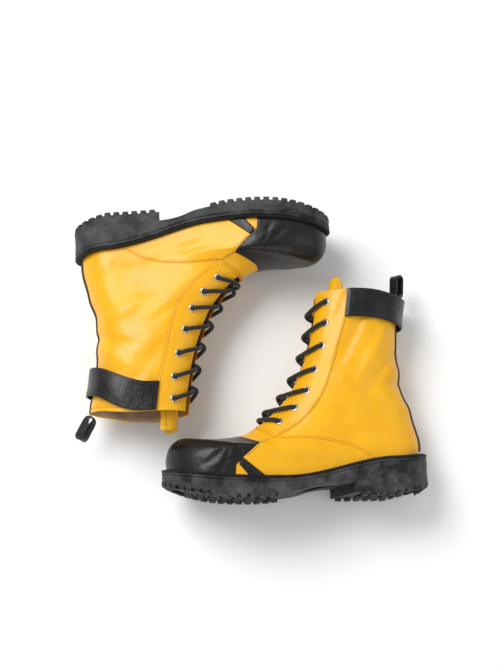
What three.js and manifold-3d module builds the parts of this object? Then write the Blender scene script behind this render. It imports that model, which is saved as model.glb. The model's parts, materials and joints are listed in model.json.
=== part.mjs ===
// A pair of lace-up leather mountain boots lying on their sides, toe to heel, on a flat surface.
// Each boot is modelled standing: x runs from the back of the heel to the toe, y to the outer side,
// z up from the tread. The upper is a loft of slices that fan from the welt to the collar.
// Pattern points give x and the height above the welt line, on a boot of the pattern size below.
import * as THREE from "three";
import { mergeVertices } from "three/addons/utils/BufferGeometryUtils.js";
import Module from "manifold-3d";

const wasm = await Module();
wasm.setup();

// Driving sizes, in millimetres.
const PATTERN_LENGTH = 309;
const PATTERN_HEIGHT = 206;
const SOLE_LENGTH = 304;
const SHAFT_HEIGHT = 211;
const HEEL_HEIGHT = 44;
const FOREFOOT_HEIGHT = 23;
const TOE_SPRING = 13;
const HEEL_HALF = 38.5;
const WAIST_HALF_OUTER = 42;
const WAIST_HALF_INNER = 36;
const BALL_HALF_OUTER = 54;
const BALL_HALF_INNER = 50;
const ANKLE_HALF = 36;
const COLLAR_HALF = 37;
const HEEL_BLOCK = 14;
const HEEL_BEVEL = 13;
const BEVEL_REACH = 46;
const BREAST_OUTER = 89;
const BREAST_INNER = 108;
const LUG_DEPTH = 5;
const LUG_PITCH = 10.5;
const LUG_NOTCH = 4;
const LUG_REACH = 13;
const WELT_LEDGE = 7;
const WELT_THICK = 3;
const WALL = 3.4;
const GAP = 0.3;
const INSOLE_THICK = 2.5;
const FOOTBED_THICK = 4.5;
const SHANK_WIDTH = 15;
const SHANK_THICK = 2;
const THROAT_HALF = 11;
const EYELET_BORE = 5.6;
const EYELET_WALL = 0.7;
const EYELET_FLANGE = 10;
const EYELET_LIP = 0.8;
const LACE_DIAMETER = 4;
const TONGUE_THICK = 4;
const TONGUE_HALF = 19;
const TONGUE_RISE = 22;
const STRAP_THICK = 2.6;
const STRAP_HEIGHT = 32;
const STRAP_SIDE_GAP = 2;
const BACKSTAY_HALF = 5;
const BACKSTAY_THICK = 1.6;
const LOOP_LENGTH = 31;
const LOOP_OPENING = 8;
const LOOP_STRIP = 1.7;
const LOOP_WIDTH = 12;
const LIFT_CLEARANCE = 0.3;
const SLAB_STEPS = 20;
const BORE_SIDES = 8;

// Leather, rubber, metal and fabric colours.
const material = (color, roughness, metalness = 0) =>
  new THREE.MeshStandardMaterial({ color, roughness, metalness });
const YELLOW = material(0xf2b32c, 0.38);
const BLACK_LEATHER = material(0x17171a, 0.42);
const RUBBER = material(0x1d1d1f, 0.7);
const NICKEL = material(0xb9b4aa, 0.3, 1);
const LACE = material(0x141416, 0.85);
const BOARD = material(0xa88b62, 0.85);
const STEEL = material(0x9a9c9f, 0.45, 1);
const FOAM = material(0x3a3a3d, 0.9);

// ---- small maths ----
const clamp01 = (t) => Math.min(1, Math.max(0, t));
const smooth = (a, b, v) => {
  const t = clamp01((v - a) / (b - a));
  return t * t * (3 - 2 * t);
};
const lerp = (a, b, t) => a + (b - a) * t;
const quarterRound = (t) => Math.sqrt(1 - (1 - clamp01(t)) ** 2);
const gradeX = SOLE_LENGTH / PATTERN_LENGTH;
const gradeZ = SHAFT_HEIGHT / PATTERN_HEIGHT;

// ---- solids: three.js geometry to manifold and back ----
function toSolid(geometry) {
  const plain = geometry.clone();
  plain.deleteAttribute("normal");
  plain.deleteAttribute("uv");
  const merged = mergeVertices(plain, 1e-5);
  const mesh = new wasm.Mesh({
    numProp: 3,
    vertProperties: new Float32Array(merged.attributes.position.array),
    triVerts: new Uint32Array(merged.index.array),
  });
  return new wasm.Manifold(mesh);
}

function toGeometry(solid) {
  const mesh = solid.getMesh();
  const geometry = new THREE.BufferGeometry();
  geometry.setAttribute("position", new THREE.BufferAttribute(mesh.vertProperties, mesh.numProp));
  geometry.setIndex(new THREE.BufferAttribute(mesh.triVerts, 1));
  return geometry;
}

// An outline in x and z, carried straight across the boot from y0 to y1.
function sidePrism(points, y0, y1) {
  const shape = new THREE.Shape(points);
  const geometry = new THREE.ExtrudeGeometry(shape, { depth: y1 - y0, bevelEnabled: false });
  geometry.rotateX(Math.PI / 2);
  geometry.translate(0, y1, 0);
  return toSolid(geometry);
}

// An outline in x and y, carried straight up from z0 to z1.
function planPrism(points, z0, z1) {
  const shape = new THREE.Shape(points);
  const geometry = new THREE.ExtrudeGeometry(shape, { depth: z1 - z0, bevelEnabled: false });
  geometry.translate(0, 0, z0);
  return toSolid(geometry);
}

// Closed solid through rows of points. In each row, point i faces point n - i across the boot.
function loft(rows) {
  const count = rows[0].length;
  const positions = rows.flat().flatMap((p) => [p.x, p.y, p.z]);
  const index = [];
  const quad = (a, b, c, d) => {
    if (a !== b) index.push(a, b, c);
    if (c !== d) index.push(a, c, d);
  };
  for (let r = 0; r + 1 < rows.length; r++) {
    for (let i = 0; i < count; i++) {
      const j = (i + 1) % count;
      quad(r * count + i, r * count + j, (r + 1) * count + j, (r + 1) * count + i);
    }
  }
  const top = (rows.length - 1) * count;
  for (let i = 0; i < count / 2; i++) {
    const mirror = (k) => (count - k) % count;
    quad(mirror(i), mirror(i + 1), i + 1, i);
    quad(top + i, top + i + 1, top + mirror(i + 1), top + mirror(i));
  }
  return outward(positions, index);
}

// Closed solid between two grids of points, an outer and an inner face of a curved plate.
function plate(outer, inner) {
  const rows = outer.length;
  const cols = outer[0].length;
  const positions = [...outer, ...inner].flat().flatMap((p) => [p.x, p.y, p.z]);
  const at = (face, r, c) => (face * rows + r) * cols + c;
  const index = [];
  const quad = (a, b, c, d) => index.push(a, b, c, a, c, d);
  for (let r = 0; r + 1 < rows; r++) {
    for (let c = 0; c + 1 < cols; c++) {
      quad(at(0, r, c), at(0, r, c + 1), at(0, r + 1, c + 1), at(0, r + 1, c));
      quad(at(1, r, c), at(1, r + 1, c), at(1, r + 1, c + 1), at(1, r, c + 1));
    }
    quad(at(0, r, 0), at(0, r + 1, 0), at(1, r + 1, 0), at(1, r, 0));
    quad(at(0, r, cols - 1), at(1, r, cols - 1), at(1, r + 1, cols - 1), at(0, r + 1, cols - 1));
  }
  for (let c = 0; c + 1 < cols; c++) {
    quad(at(0, 0, c), at(1, 0, c), at(1, 0, c + 1), at(0, 0, c + 1));
    quad(at(0, rows - 1, c), at(0, rows - 1, c + 1), at(1, rows - 1, c + 1), at(1, rows - 1, c));
  }
  return outward(positions, index);
}

function outward(positions, index) {
  let volume = 0;
  const corner = (k) => new THREE.Vector3().fromArray(positions, index[k] * 3);
  for (let k = 0; k < index.length; k += 3) {
    volume += corner(k).dot(corner(k + 1).cross(corner(k + 2)));
  }
  if (volume < 0) index.reverse();
  const geometry = new THREE.BufferGeometry();
  geometry.setAttribute("position", new THREE.Float32BufferAttribute(positions, 3));
  geometry.setIndex(index);
  return geometry;
}

// ---- the sole's plan and the welt line ----
const atHeel = (x) => x * gradeX;
const heelRound = 42;
const toeRound = 60;
const widthCurve = (ball, waist, toe) => new THREE.SplineCurve([
  new THREE.Vector2(0, HEEL_HALF),
  new THREE.Vector2(0.15, HEEL_HALF),
  new THREE.Vector2(0.37, waist),
  new THREE.Vector2(0.66, ball),
  new THREE.Vector2(0.84, ball - 1),
  new THREE.Vector2(1, toe),
]);
const outerWidth = widthCurve(BALL_HALF_OUTER, WAIST_HALF_OUTER, 0.8 * BALL_HALF_OUTER);
const innerWidth = widthCurve(BALL_HALF_INNER, WAIST_HALF_INNER, 0.9 * BALL_HALF_INNER);

// Half-width of the plan at x before its ends are rounded, found along the width curve.
function fullHalf(x, side) {
  const curve = side > 0 ? outerWidth : innerWidth;
  const target = clamp01(x / SOLE_LENGTH);
  let low = 0;
  let high = 1;
  for (let i = 0; i < 24; i++) {
    const mid = (low + high) / 2;
    if (curve.getPoint(mid).x < target) low = mid;
    else high = mid;
  }
  return curve.getPoint(low).y;
}
const soleHalf = (x, side, inset = 0) =>
  (fullHalf(x, side) - inset) * quarterRound((x - inset) / (heelRound - inset))
  * quarterRound((SOLE_LENGTH - inset - x) / (toeRound - inset));

function planOutline(inset = 0, steps = 18) {
  const span = SOLE_LENGTH - 2 * inset;
  const points = [];
  for (const side of [1, -1]) {
    for (let i = 0; i < steps; i++) {
      const turn = (i / steps) * Math.PI;
      const x = inset + (span * (1 - side * Math.cos(turn))) / 2;
      points.push(new THREE.Vector2(x, side * soleHalf(x, side, inset)));
    }
  }
  return points;
}

const weltZ = (x) =>
  lerp(HEEL_HEIGHT, FOREFOOT_HEIGHT, smooth(atHeel(40), atHeel(168), x))
  + 4 * (1 - smooth(0, atHeel(40), x))
  + TOE_SPRING * clamp01((x - atHeel(190)) / (SOLE_LENGTH - atHeel(190))) ** 2;
const soleTop = (x) => weltZ(x) - WELT_THICK;

// A curved slab that follows the welt line, between two heights given from the top of the sole.
const slabEdge = (height, x0 = 0, x1 = SOLE_LENGTH) =>
  Array.from({ length: SLAB_STEPS + 1 }, (_, i) => {
    const x = lerp(x0, x1, i / SLAB_STEPS);
    return new THREE.Vector2(x, soleTop(x) + height);
  });
const weltSlab = (z0, z1, x0, x1, half = 80) =>
  sidePrism([...slabEdge(z0, x0, x1), ...slabEdge(z1, x0, x1).reverse()], -half, half);

// ---- one boot ----
// lean: how far the collar stands back at its front and at its back, the shaft being soft.
// strapDroop, strapSlack: how far the strap hangs below the collar, and stands off, at the back.
// loopLean: how far the pull loop leans back, in degrees.
// tongueBack: how far the tongue's top stands back from the lacing.
function makeBoot(prefix, { leanFront, leanBack, strapDroop, strapSlack, loopLean, tongueBack }) {
  const boot = new THREE.Group();
  const add = (name, geometry, look) => {
    const mesh = new THREE.Mesh(geometry, look);
    mesh.name = `${prefix}_${name}`;
    boot.add(mesh);
    return mesh;
  };

  // A pattern point, x and height above the welt line, on the graded and leaning boot.
  const place = (x, height) => {
    const across = clamp01((135 - x) / 105);
    const lean = lerp(leanFront, leanBack, across) * smooth(25, 200, height);
    const real = (x + lean) * gradeX;
    return new THREE.Vector2(real, weltZ(real) + height * gradeZ);
  };
  const placeAll = (points) => points.map(([x, height]) => place(x, height));
  const seam = (points, count) =>
    placeAll(new THREE.SplineCurve(points.map(([x, z]) => new THREE.Vector2(x, z)))
      .getPoints(count).map((p) => [p.x, p.y]));

  // Slices of the upper from welt to collar: the front end, the back end, and how far the
  // plan is rounded behind each end.
  const seat = (WELT_THICK - GAP) / gradeZ;
  const frontLine = new THREE.SplineCurve([
    [302, -seat], [303, 12], [298, 28], [284, 38.5], [254, 41], [220, 47], [201, 57], [183, 71],
    [161, 95], [146, 122], [137, 143], [130, 171], [125, 205],
  ].map((p) => new THREE.Vector2(...p)));
  const backLine = new THREE.SplineCurve([
    [9, -seat], [8.5, 5], [8.5, 10], [9, 14], [10, 20], [12, 28], [15, 38], [19, 54],
    [26.5, 72], [29, 94], [31, 118], [29, 146], [24, 180],
  ].map((p) => new THREE.Vector2(...p)));
  const rounding = new THREE.SplineCurve([
    [52, 38], [54, 38], [60, 38], [76, 38], [98, 38], [100, 39], [88, 40], [74, 41],
    [62, 42], [55, 44], [52, 46], [50, 48], [50, 50],
  ].map((p) => new THREE.Vector2(...p)));

  function slicePoint(h, theta) {
    const s = (1 - Math.cos(theta)) / 2;
    const side = Math.sin(theta) >= 0 ? 1 : -1;
    const front = frontLine.getPoint(h);
    const back = backLine.getPoint(h);
    const round = rounding.getPoint(h);
    const length = front.distanceTo(back);
    const x = lerp(front.x, back.x, s);
    const height = lerp(front.y, back.y, s);
    const foot = fullHalf(x * gradeX, side) - WELT_LEDGE;
    const shaft = lerp(ANKLE_HALF, COLLAR_HALF, smooth(90, 190, height));
    const half = lerp(foot, shaft, smooth(24, 92, height))
      * quarterRound((s * length) / round.x) * quarterRound(((1 - s) * length) / round.y);
    const p = place(x, height);
    return new THREE.Vector3(p.x, side * half, p.y);
  }

  // A point on the upper's surface, moved out along its normal.
  function skinPoint(h, theta, offset) {
    const p = slicePoint(h, theta);
    if (offset === 0) return p;
    const dh = 0.004;
    const dt = 0.02;
    const lowH = Math.max(0, h - dh);
    const highH = Math.min(1, h + dh);
    const along = slicePoint(highH, theta).sub(slicePoint(lowH, theta));
    const around = slicePoint(h, theta + dt).sub(slicePoint(h, theta - dt));
    const normal = around.cross(along).normalize();
    return p.addScaledVector(normal, offset);
  }

  const around = 26;
  const sliceRows = [0, 0.083, 0.167, 0.25, 0.34, 0.44, 0.52, 0.6, 0.68, 0.78, 0.89, 1];
  const shaftUp = new THREE.Vector3(-0.03, 0, 1);
  function skinSolid(offset, down, up) {
    const rows = sliceRows.map((h) =>
      Array.from({ length: around }, (_, i) => skinPoint(h, (i / around) * 2 * Math.PI, offset)));
    if (down > 0) rows.unshift(rows[0].map((p) => p.clone().add(new THREE.Vector3(0, 0, -down))));
    if (up > 0) rows.push(rows.at(-1).map((p) => p.clone().addScaledVector(shaftUp, up)));
    return toSolid(loft(rows));
  }
  const belowUpper = weltSlab(-40, GAP);
  const hollow = skinSolid(-WALL, 12, 25);
  const shell = skinSolid(0, 6, 0).subtract(hollow).subtract(belowUpper);

  // The slice and the turn round it of a pattern point.
  function locate(x, height) {
    let low = 0;
    let high = 1;
    const across = (h) => {
      const front = frontLine.getPoint(h);
      const back = backLine.getPoint(h);
      const s = clamp01((front.x - x) / (front.x - back.x));
      return { s, height: lerp(front.y, back.y, s) };
    };
    for (let i = 0; i < 30; i++) {
      const mid = (low + high) / 2;
      if (across(mid).height < height) low = mid;
      else high = mid;
    }
    return { h: low, theta: Math.acos(1 - 2 * across(low).s) };
  }

  // ---- seams of the upper, cut as thin gaps between the panels ----
  const capEdge = [[220, 60], [220, 46], [197.5, 37], [218, 19], [193, 2], [193, -12]];
  const sideSeam = [[181, 42.5], [149, 42], [121, 34.5], [89, 19.5], [66, 1]];
  const facingSeam = [[88, 206], [92.5, 167], [101.5, 139], [113, 106], [126.5, 80.5], [148.5, 60],
    [181, 42.5]];
  const facingEnd = [[181, 42.5], [201, 56.5], [212, 66]];

  // A strip of width GAP along a line, right across the boot.
  function seamCutter(line) {
    const normalAt = (i) => {
      const a = line[Math.max(0, i - 1)];
      const b = line[Math.min(line.length - 1, i + 1)];
      return new THREE.Vector2(a.y - b.y, b.x - a.x).normalize().multiplyScalar(GAP / 2);
    };
    const left = line.map((p, i) => p.clone().add(normalAt(i)));
    const right = line.map((p, i) => p.clone().sub(normalAt(i))).reverse();
    return sidePrism([...left, ...right], -90, 90);
  }
  const capLine = placeAll(capEdge);
  const sideLine = [...seam(sideSeam, 12), place(66, -12)];
  const facingLine = [place(88, 226), ...seam(facingSeam, 14)];
  const facingEndLine = placeAll(facingEnd);
  let cut = shell;
  for (const line of [capLine, sideLine, facingLine, facingEndLine]) {
    cut = cut.subtract(seamCutter(line));
  }
  const beyondToe = SOLE_LENGTH + 20;
  const region = (points, side = 0) =>
    sidePrism(points, side > 0 ? GAP : -90, side < 0 ? -GAP : 90);
  const corner = (x, z) => new THREE.Vector2(x, z);

  add("toe_cap", toGeometry(cut.intersect(region([
    ...capLine, corner(beyondToe, capLine.at(-1).y), corner(beyondToe, capLine[0].y + 30),
    corner(capLine[0].x, capLine[0].y + 30),
  ]))), BLACK_LEATHER);

  add("vamp", toGeometry(cut.intersect(region([
    capLine[0], ...capLine.slice(1), sideLine.at(-1), ...sideLine.slice(0, -1).reverse(),
    facingEndLine[0], ...facingEndLine.slice(1),
  ]))), YELLOW);

  const quarterArea = [
    ...facingLine, sideLine[0], ...sideLine.slice(1), corner(-30, sideLine.at(-1).y),
    corner(-60, facingLine[0].y),
  ];
  const facingArea = [
    ...facingLine, ...facingEndLine.slice(1), corner(facingLine[0].x + 150, facingEndLine.at(-1).y),
    corner(facingLine[0].x + 150, facingLine[0].y),
  ];
  const eyeletHole = EYELET_BORE / 2 + EYELET_WALL + GAP;
  const throat = new THREE.BoxGeometry(2 * SOLE_LENGTH, 2 * THROAT_HALF, 3 * SHAFT_HEIGHT);

  // Seven eyelets up each facing.
  const eyeletSpots = [[174, 61], [156, 76], [141, 93], [131, 115], [121.5, 140], [116, 165],
    [114, 189]];
  const spots = eyeletSpots.map(([x, height]) => locate(x, height));
  function eyeletFrames(side) {
    return spots.map(({ h, theta }) => {
      const mouth = skinPoint(h, side * theta, 0);
      return { mouth, axis: skinPoint(h, side * theta, 1).sub(mouth).normalize() };
    });
  }
  const frames = { 1: eyeletFrames(1), [-1]: eyeletFrames(-1) };
  const up = new THREE.Vector3(0, 1, 0);
  function eyelet({ mouth, axis }) {
    const bore = EYELET_BORE / 2;
    const barrel = bore + EYELET_WALL;
    const flange = EYELET_FLANGE / 2;
    const lift = GAP + LIFT_CLEARANCE;
    const profile = [
      [bore, -WALL], [barrel, -WALL], [barrel, lift], [flange, lift],
      [bore + EYELET_WALL, lift + EYELET_LIP], [bore, -WALL],
    ].map((p) => new THREE.Vector2(...p));
    const geometry = new THREE.LatheGeometry(profile, BORE_SIDES);
    geometry.applyQuaternion(new THREE.Quaternion().setFromUnitVectors(up, axis));
    geometry.translate(mouth.x, mouth.y, mouth.z);
    return toGeometry(toSolid(geometry));
  }
  // The hole for an eyelet's barrel, and room for its flange where the leather curves up.
  function punch({ mouth, axis }) {
    const flangeRoom = EYELET_FLANGE / 2 + GAP;
    const disc = (radius, from, to) => {
      const geometry = new THREE.CylinderGeometry(radius, radius, to - from, BORE_SIDES);
      geometry.translate(0, (from + to) / 2, 0);
      geometry.applyQuaternion(new THREE.Quaternion().setFromUnitVectors(up, axis));
      geometry.translate(mouth.x, mouth.y, mouth.z);
      return toSolid(geometry);
    };
    return disc(eyeletHole, -3 * WALL, 3 * WALL).add(disc(flangeRoom, LIFT_CLEARANCE, 2 * WALL));
  }
  for (const [label, side] of [["outer", 1], ["inner", -1]]) {
    add(`quarter_${label}`, toGeometry(cut.intersect(region(quarterArea, side))), YELLOW);
    let facing = cut.intersect(region(facingArea, side)).subtract(toSolid(throat));
    for (const frame of frames[side]) facing = facing.subtract(punch(frame));
    add(`facing_${label}`, toGeometry(facing), YELLOW);
    frames[side].forEach((frame, i) => add(`eyelet_${label}_${i + 1}`, eyelet(frame), NICKEL));
  }

  // ---- tongue, behind the lacing ----
  const tongueGap = LACE_DIAMETER + 3;
  function thetaForHalf(h, half, offset) {
    let low = 0;
    let high = Math.PI / 2;
    for (let i = 0; i < 24; i++) {
      const mid = (low + high) / 2;
      if (skinPoint(h, mid, offset).y < half) low = mid;
      else high = mid;
    }
    return low;
  }
  const tongueRows = [0.5, 0.56, 0.62, 0.69, 0.76, 0.84, 0.92, 1];
  const tongueCols = 10;
  function tongueFace(depth) {
    const rows = tongueRows.map((h) => {
      const offset = -WALL - tongueGap - tongueBack * smooth(0.5, 1, h) - depth;
      const edge = thetaForHalf(h, TONGUE_HALF - depth * 0.6, offset);
      return Array.from({ length: tongueCols + 1 }, (_, i) =>
        skinPoint(h, lerp(-edge, edge, i / tongueCols), offset));
    });
    for (const [rise, back] of [[0.55, 0.4 * tongueBack], [1, tongueBack]]) {
      const step = new THREE.Vector3(-back, 0, TONGUE_RISE * rise);
      rows.push(rows[tongueRows.length - 1].map((p) => p.clone().add(step)));
    }
    return rows;
  }
  add("tongue", plate(tongueFace(0), tongueFace(TONGUE_THICK)), YELLOW);

  // ---- strip over the back seam ----
  function backstayFace(offset) {
    return sliceRows.slice(1).map((h) => {
      const edge = Math.asin(clamp01(BACKSTAY_HALF / COLLAR_HALF));
      return [-1, 0, 1].map((k) => skinPoint(h, Math.PI + k * edge, offset));
    });
  }
  add("backstay", plate(backstayFace(GAP + BACKSTAY_THICK), backstayFace(GAP + LIFT_CLEARANCE)),
    BLACK_LEATHER);

  // ---- collar strap, sewn at its front ends and loose round the back ----
  const strapPivot = place(91, 186);
  const topSlice = frontLine.points.at(-1).y - frontLine.points.at(-2).y;
  const slicePerMillimetre = 1 / ((frontLine.points.length - 1) * topSlice * gradeZ);
  const strapRows = 3;
  const strapCols = 16;
  const strapEdge = 1.27;
  function strapFace(offset) {
    return Array.from({ length: strapRows + 1 }, (_, r) =>
      Array.from({ length: strapCols + 1 }, (_, c) => {
        const theta = lerp(strapEdge, 2 * Math.PI - strapEdge, c / strapCols);
        const toBack = smooth(-0.25, 1, -Math.cos(theta));
        const below = STRAP_HEIGHT * (1 - r / strapRows) + strapDroop * toBack + GAP;
        const h = 1 - below * slicePerMillimetre;
        const away = lerp(STRAP_SIDE_GAP, strapSlack, toBack);
        return skinPoint(h, theta, offset + away);
      }));
  }
  add("strap", plate(strapFace(STRAP_THICK), strapFace(0)), BLACK_LEATHER);

  // ---- pull loop, a folded strip standing on the collar ----
  const rim = skinPoint(1, Math.PI, -WALL / 2);
  const loopPivot = new THREE.Vector2(rim.x, rim.z + GAP + 1);
  function slotOutline(half, length) {
    const points = [];
    const bend = 7;
    for (const [centre, start] of [[length - half, 0], [half, Math.PI]]) {
      for (let i = 0; i <= bend; i++) {
        const turn = start + (i / bend) * Math.PI;
        points.push(new THREE.Vector2(half * Math.cos(turn), centre + half * Math.sin(turn)));
      }
    }
    return points;
  }
  const loopShape = new THREE.Shape(slotOutline(LOOP_OPENING / 2 + LOOP_STRIP, LOOP_LENGTH));
  const holeLength = LOOP_LENGTH - 2 * LOOP_STRIP;
  loopShape.holes.push(new THREE.Path(slotOutline(LOOP_OPENING / 2, holeLength)
    .map((p) => new THREE.Vector2(p.x, p.y + LOOP_STRIP))));
  const loop = new THREE.ExtrudeGeometry(loopShape, { depth: LOOP_WIDTH, bevelEnabled: false });
  loop.rotateX(Math.PI / 2);
  loop.translate(0, LOOP_WIDTH / 2, 0);
  loop.rotateY(THREE.MathUtils.degToRad(-loopLean));
  loop.translate(loopPivot.x, 0, loopPivot.y + 1.5 * Math.abs(Math.sin(loopLean * Math.PI / 180)));
  add("pull_loop", loop, BLACK_LEATHER);

  // ---- lace: a bar over the lowest eyelets, then crossed up to the top, ends tucked inside ----
  function laceRoute() {
    const half = LACE_DIAMETER / 2;
    const over = EYELET_LIP + LIFT_CLEARANCE + 4 * GAP + half;
    const under = -WALL - 4 * GAP - half;
    const crossing = { 1: over + 2, [-1]: over + 2 - LACE_DIAMETER - 1.2 };
    const inBore = (row, side) => [under, -WALL / 2, over - half / 2].map((deep) =>
      skinPoint(spots[row].h, side * spots[row].theta, deep));
    const top = spots.length - 1;
    // From over one eyelet across the throat to under the next lower eyelet on the far side.
    function strand(row, side) {
      const here = spots[row];
      const next = spots[row - 1];
      const along = (k, offset) => skinPoint(lerp(here.h, next.h, k),
        lerp(side * here.theta, -side * next.theta, k), offset);
      return [...inBore(row, side), along(0.14, over + 0.3), along(0.34, over + 0.6),
        along(0.5, crossing[side]), along(0.66, under), along(0.88, under)];
    }
    function halfLace(topSide) {
      const tail = [0.8, 0.55, 0.3].map((k) =>
        skinPoint(spots[top].h, topSide * (spots[top].theta + k), under));
      const points = [...tail];
      let side = topSide;
      for (let row = top; row > 0; row--) {
        points.push(...strand(row, side));
        side = -side;
      }
      const bar = [0.84, 0.4].map((k) => skinPoint(spots[0].h, side * spots[0].theta * k, over));
      return [...points, ...inBore(0, side), ...bar];
    }
    const middle = skinPoint(spots[0].h, 0, over + 0.6);
    return [...halfLace(1), middle, ...halfLace(-1).reverse()];
  }

  // A tube whose steps fall on the points given, short in the bends and long on the runs.
  function tube(points, radius, sides) {
    class Route extends THREE.CatmullRomCurve3 {
      getPointAt(u) { return this.getPoint(u); }
      getTangentAt(u) { return this.getTangent(u); }
    }
    const route = new Route(points);
    const section = new THREE.Shape(Array.from({ length: sides }, (_, i) => {
      const turn = (i / sides) * 2 * Math.PI;
      return new THREE.Vector2(radius * Math.cos(turn), radius * Math.sin(turn));
    }));
    return new THREE.ExtrudeGeometry(section,
      { steps: points.length - 1, extrudePath: route, bevelEnabled: false });
  }
  add("lace", tube(laceRoute(), LACE_DIAMETER / 2, 6), LACE);

  // ---- bottom: outsole, welt, shank, insole board and footbed ----
  const grown = skinSolid(GAP, 12, 0);
  const inside = skinSolid(-WALL - GAP, 12, 0);
  const shankPart = weltSlab(-SHANK_THICK, -GAP, atHeel(45), atHeel(160), SHANK_WIDTH / 2);
  const shankBed = weltSlab(-SHANK_THICK - GAP, GAP, atHeel(45) - GAP, atHeel(160) + GAP,
    SHANK_WIDTH / 2 + GAP);
  add("shank", toGeometry(shankPart), STEEL);
  add("outsole", toGeometry(outsoleSolid().subtract(shankBed)), RUBBER);
  const weltBand = weltSlab(GAP, WELT_THICK).intersect(planPrism(planOutline(0.6), 0, 90));
  add("welt", toGeometry(weltBand.subtract(grown)), RUBBER);
  add("insole_board", toGeometry(weltSlab(GAP, INSOLE_THICK).intersect(inside)), BOARD);
  const footbedTop = INSOLE_THICK + FOOTBED_THICK;
  add("footbed", toGeometry(weltSlab(INSOLE_THICK + GAP, footbedTop).intersect(inside)), FOAM);
  boot.userData.axes = {
    tongue: { x: place(190, 50).x, z: place(190, 50).y },
    strap: { x: strapPivot.x, z: strapPivot.y },
    pull_loop: { x: loopPivot.x, z: loopPivot.y + 2 },
  };
  return boot;
}

// The unit sole: heel block, arched waist and lugged forefoot in one moulding.
function outsoleSolid() {
  const topLine = slabEdge(0);
  const tip = TOE_SPRING + 3;
  const arch = new THREE.SplineCurve([
    [0, HEEL_BLOCK], [60, HEEL_BLOCK], [112, HEEL_BLOCK], [136, 11.5], [156, 5], [180, 0.6],
    [212, 0], [245, 1.8], [275, 7], [300, 14], [PATTERN_LENGTH, tip + 2],
  ].map(([x, z]) => new THREE.Vector2(atHeel(x), z))).getPoints(20);
  const body = sidePrism([...arch, ...topLine.reverse()], -90, 90);
  const reach = 120;
  const slope = (BREAST_INNER - BREAST_OUTER) / (2 * HEEL_HALF);
  const breastAt = (y) => BREAST_OUTER + slope * (HEEL_HALF - y);
  const heelPlan = planPrism([
    new THREE.Vector2(-reach, -reach), new THREE.Vector2(breastAt(-reach), -reach),
    new THREE.Vector2(breastAt(reach), reach), new THREE.Vector2(-reach, reach),
  ], -5, 60);
  const heelSide = sidePrism([
    [0, HEEL_BEVEL], [5, 9], [BEVEL_REACH, 0], [reach, 0], [reach, HEEL_BLOCK + 2], [0, HEEL_BLOCK + 2],
  ].map(([x, z]) => new THREE.Vector2(x, z)), -90, 90);
  const outline = planOutline();
  let sole = body.add(heelSide.intersect(heelPlan)).intersect(planPrism(outline, -10, 90));
  const curve = new THREE.CatmullRomCurve3(
    outline.map((p) => new THREE.Vector3(p.x, p.y, 0)), true);
  const count = Math.round(curve.getLength() / LUG_PITCH);
  const bottomAt = (x) => {
    if (x < BREAST_OUTER) return Math.max(0, HEEL_BEVEL * (1 - x / BEVEL_REACH));
    const k = arch.findIndex((p) => p.x >= x);
    return k < 0 ? tip : arch[k].y;
  };
  for (let i = 0; i < count; i++) {
    const p = curve.getPointAt(i / count);
    const inHeel = p.x < BREAST_OUTER - LUG_PITCH;
    if (!inHeel && p.x < atHeel(160)) continue;
    const tangent = curve.getTangentAt(i / count);
    const notch = new THREE.BoxGeometry(LUG_NOTCH, 2 * LUG_REACH, 2 * LUG_DEPTH);
    notch.rotateZ(Math.atan2(tangent.y, tangent.x));
    notch.translate(p.x, p.y, bottomAt(p.x) + (inHeel ? 0 : 0.5));
    sole = sole.subtract(toSolid(notch));
  }
  return sole;
}

// ---- the pair on the floor ----
// A boot on its side touches at the ball of the sole, the heel and the shaft.
function restOnSide(boot, mirror) {
  const points = [];
  boot.traverse((node) => {
    if (!node.isMesh || node.name.endsWith("pull_loop")) return;
    const position = node.geometry.attributes.position;
    for (let i = 0; i < position.count; i++) {
      points.push(new THREE.Vector3().fromBufferAttribute(position, i));
    }
  });
  for (const p of points) p.y *= mirror;
  const zones = [
    points.filter((p) => p.x > SOLE_LENGTH / 2),
    points.filter((p) => p.x < SOLE_LENGTH * 0.4 && p.z < HEEL_HEIGHT),
    points.filter((p) => p.z > 0.6 * SHAFT_HEIGHT),
  ];
  const plane = new THREE.Plane(new THREE.Vector3(0, 1, 0), 0);
  for (let pass = 0; pass < 8; pass++) {
    const feet = zones.map((zone) => zone.reduce((a, b) =>
      (plane.distanceToPoint(a) < plane.distanceToPoint(b) ? a : b)));
    plane.setFromCoplanarPoints(feet[0], feet[1], feet[2]);
    if (plane.normal.y < 0) plane.negate();
  }
  return plane;
}

// heading: direction of the toe in degrees. heelX, heelY: where the back of the heel lies.
function layDown(boot, mirror, heading, heelX, heelY) {
  const plane = restOnSide(boot, mirror);
  const turn = THREE.MathUtils.degToRad(heading);
  const toe = new THREE.Vector3(Math.cos(turn), Math.sin(turn), 0);
  const upWorld = new THREE.Vector3(0, 0, 1);
  const xLocal = new THREE.Vector3(1, 0, 0).projectOnPlane(plane.normal).normalize();
  const zLocal = new THREE.Vector3().crossVectors(xLocal, plane.normal);
  const local = new THREE.Matrix4().makeBasis(xLocal, plane.normal, zLocal);
  const world = new THREE.Matrix4().makeBasis(toe, upWorld, new THREE.Vector3().crossVectors(toe, upWorld));
  const turnMatrix = world.multiply(local.transpose());
  const heel = new THREE.Vector3(0, 0, 0).applyMatrix4(turnMatrix);
  const lift = plane.constant;
  const laid = new THREE.Group();
  laid.applyMatrix4(turnMatrix.premultiply(
    new THREE.Matrix4().makeTranslation(heelX - heel.x, heelY - heel.y, lift - heel.z)));
  boot.scale.y = mirror;
  laid.add(boot);
  return laid;
}

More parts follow.
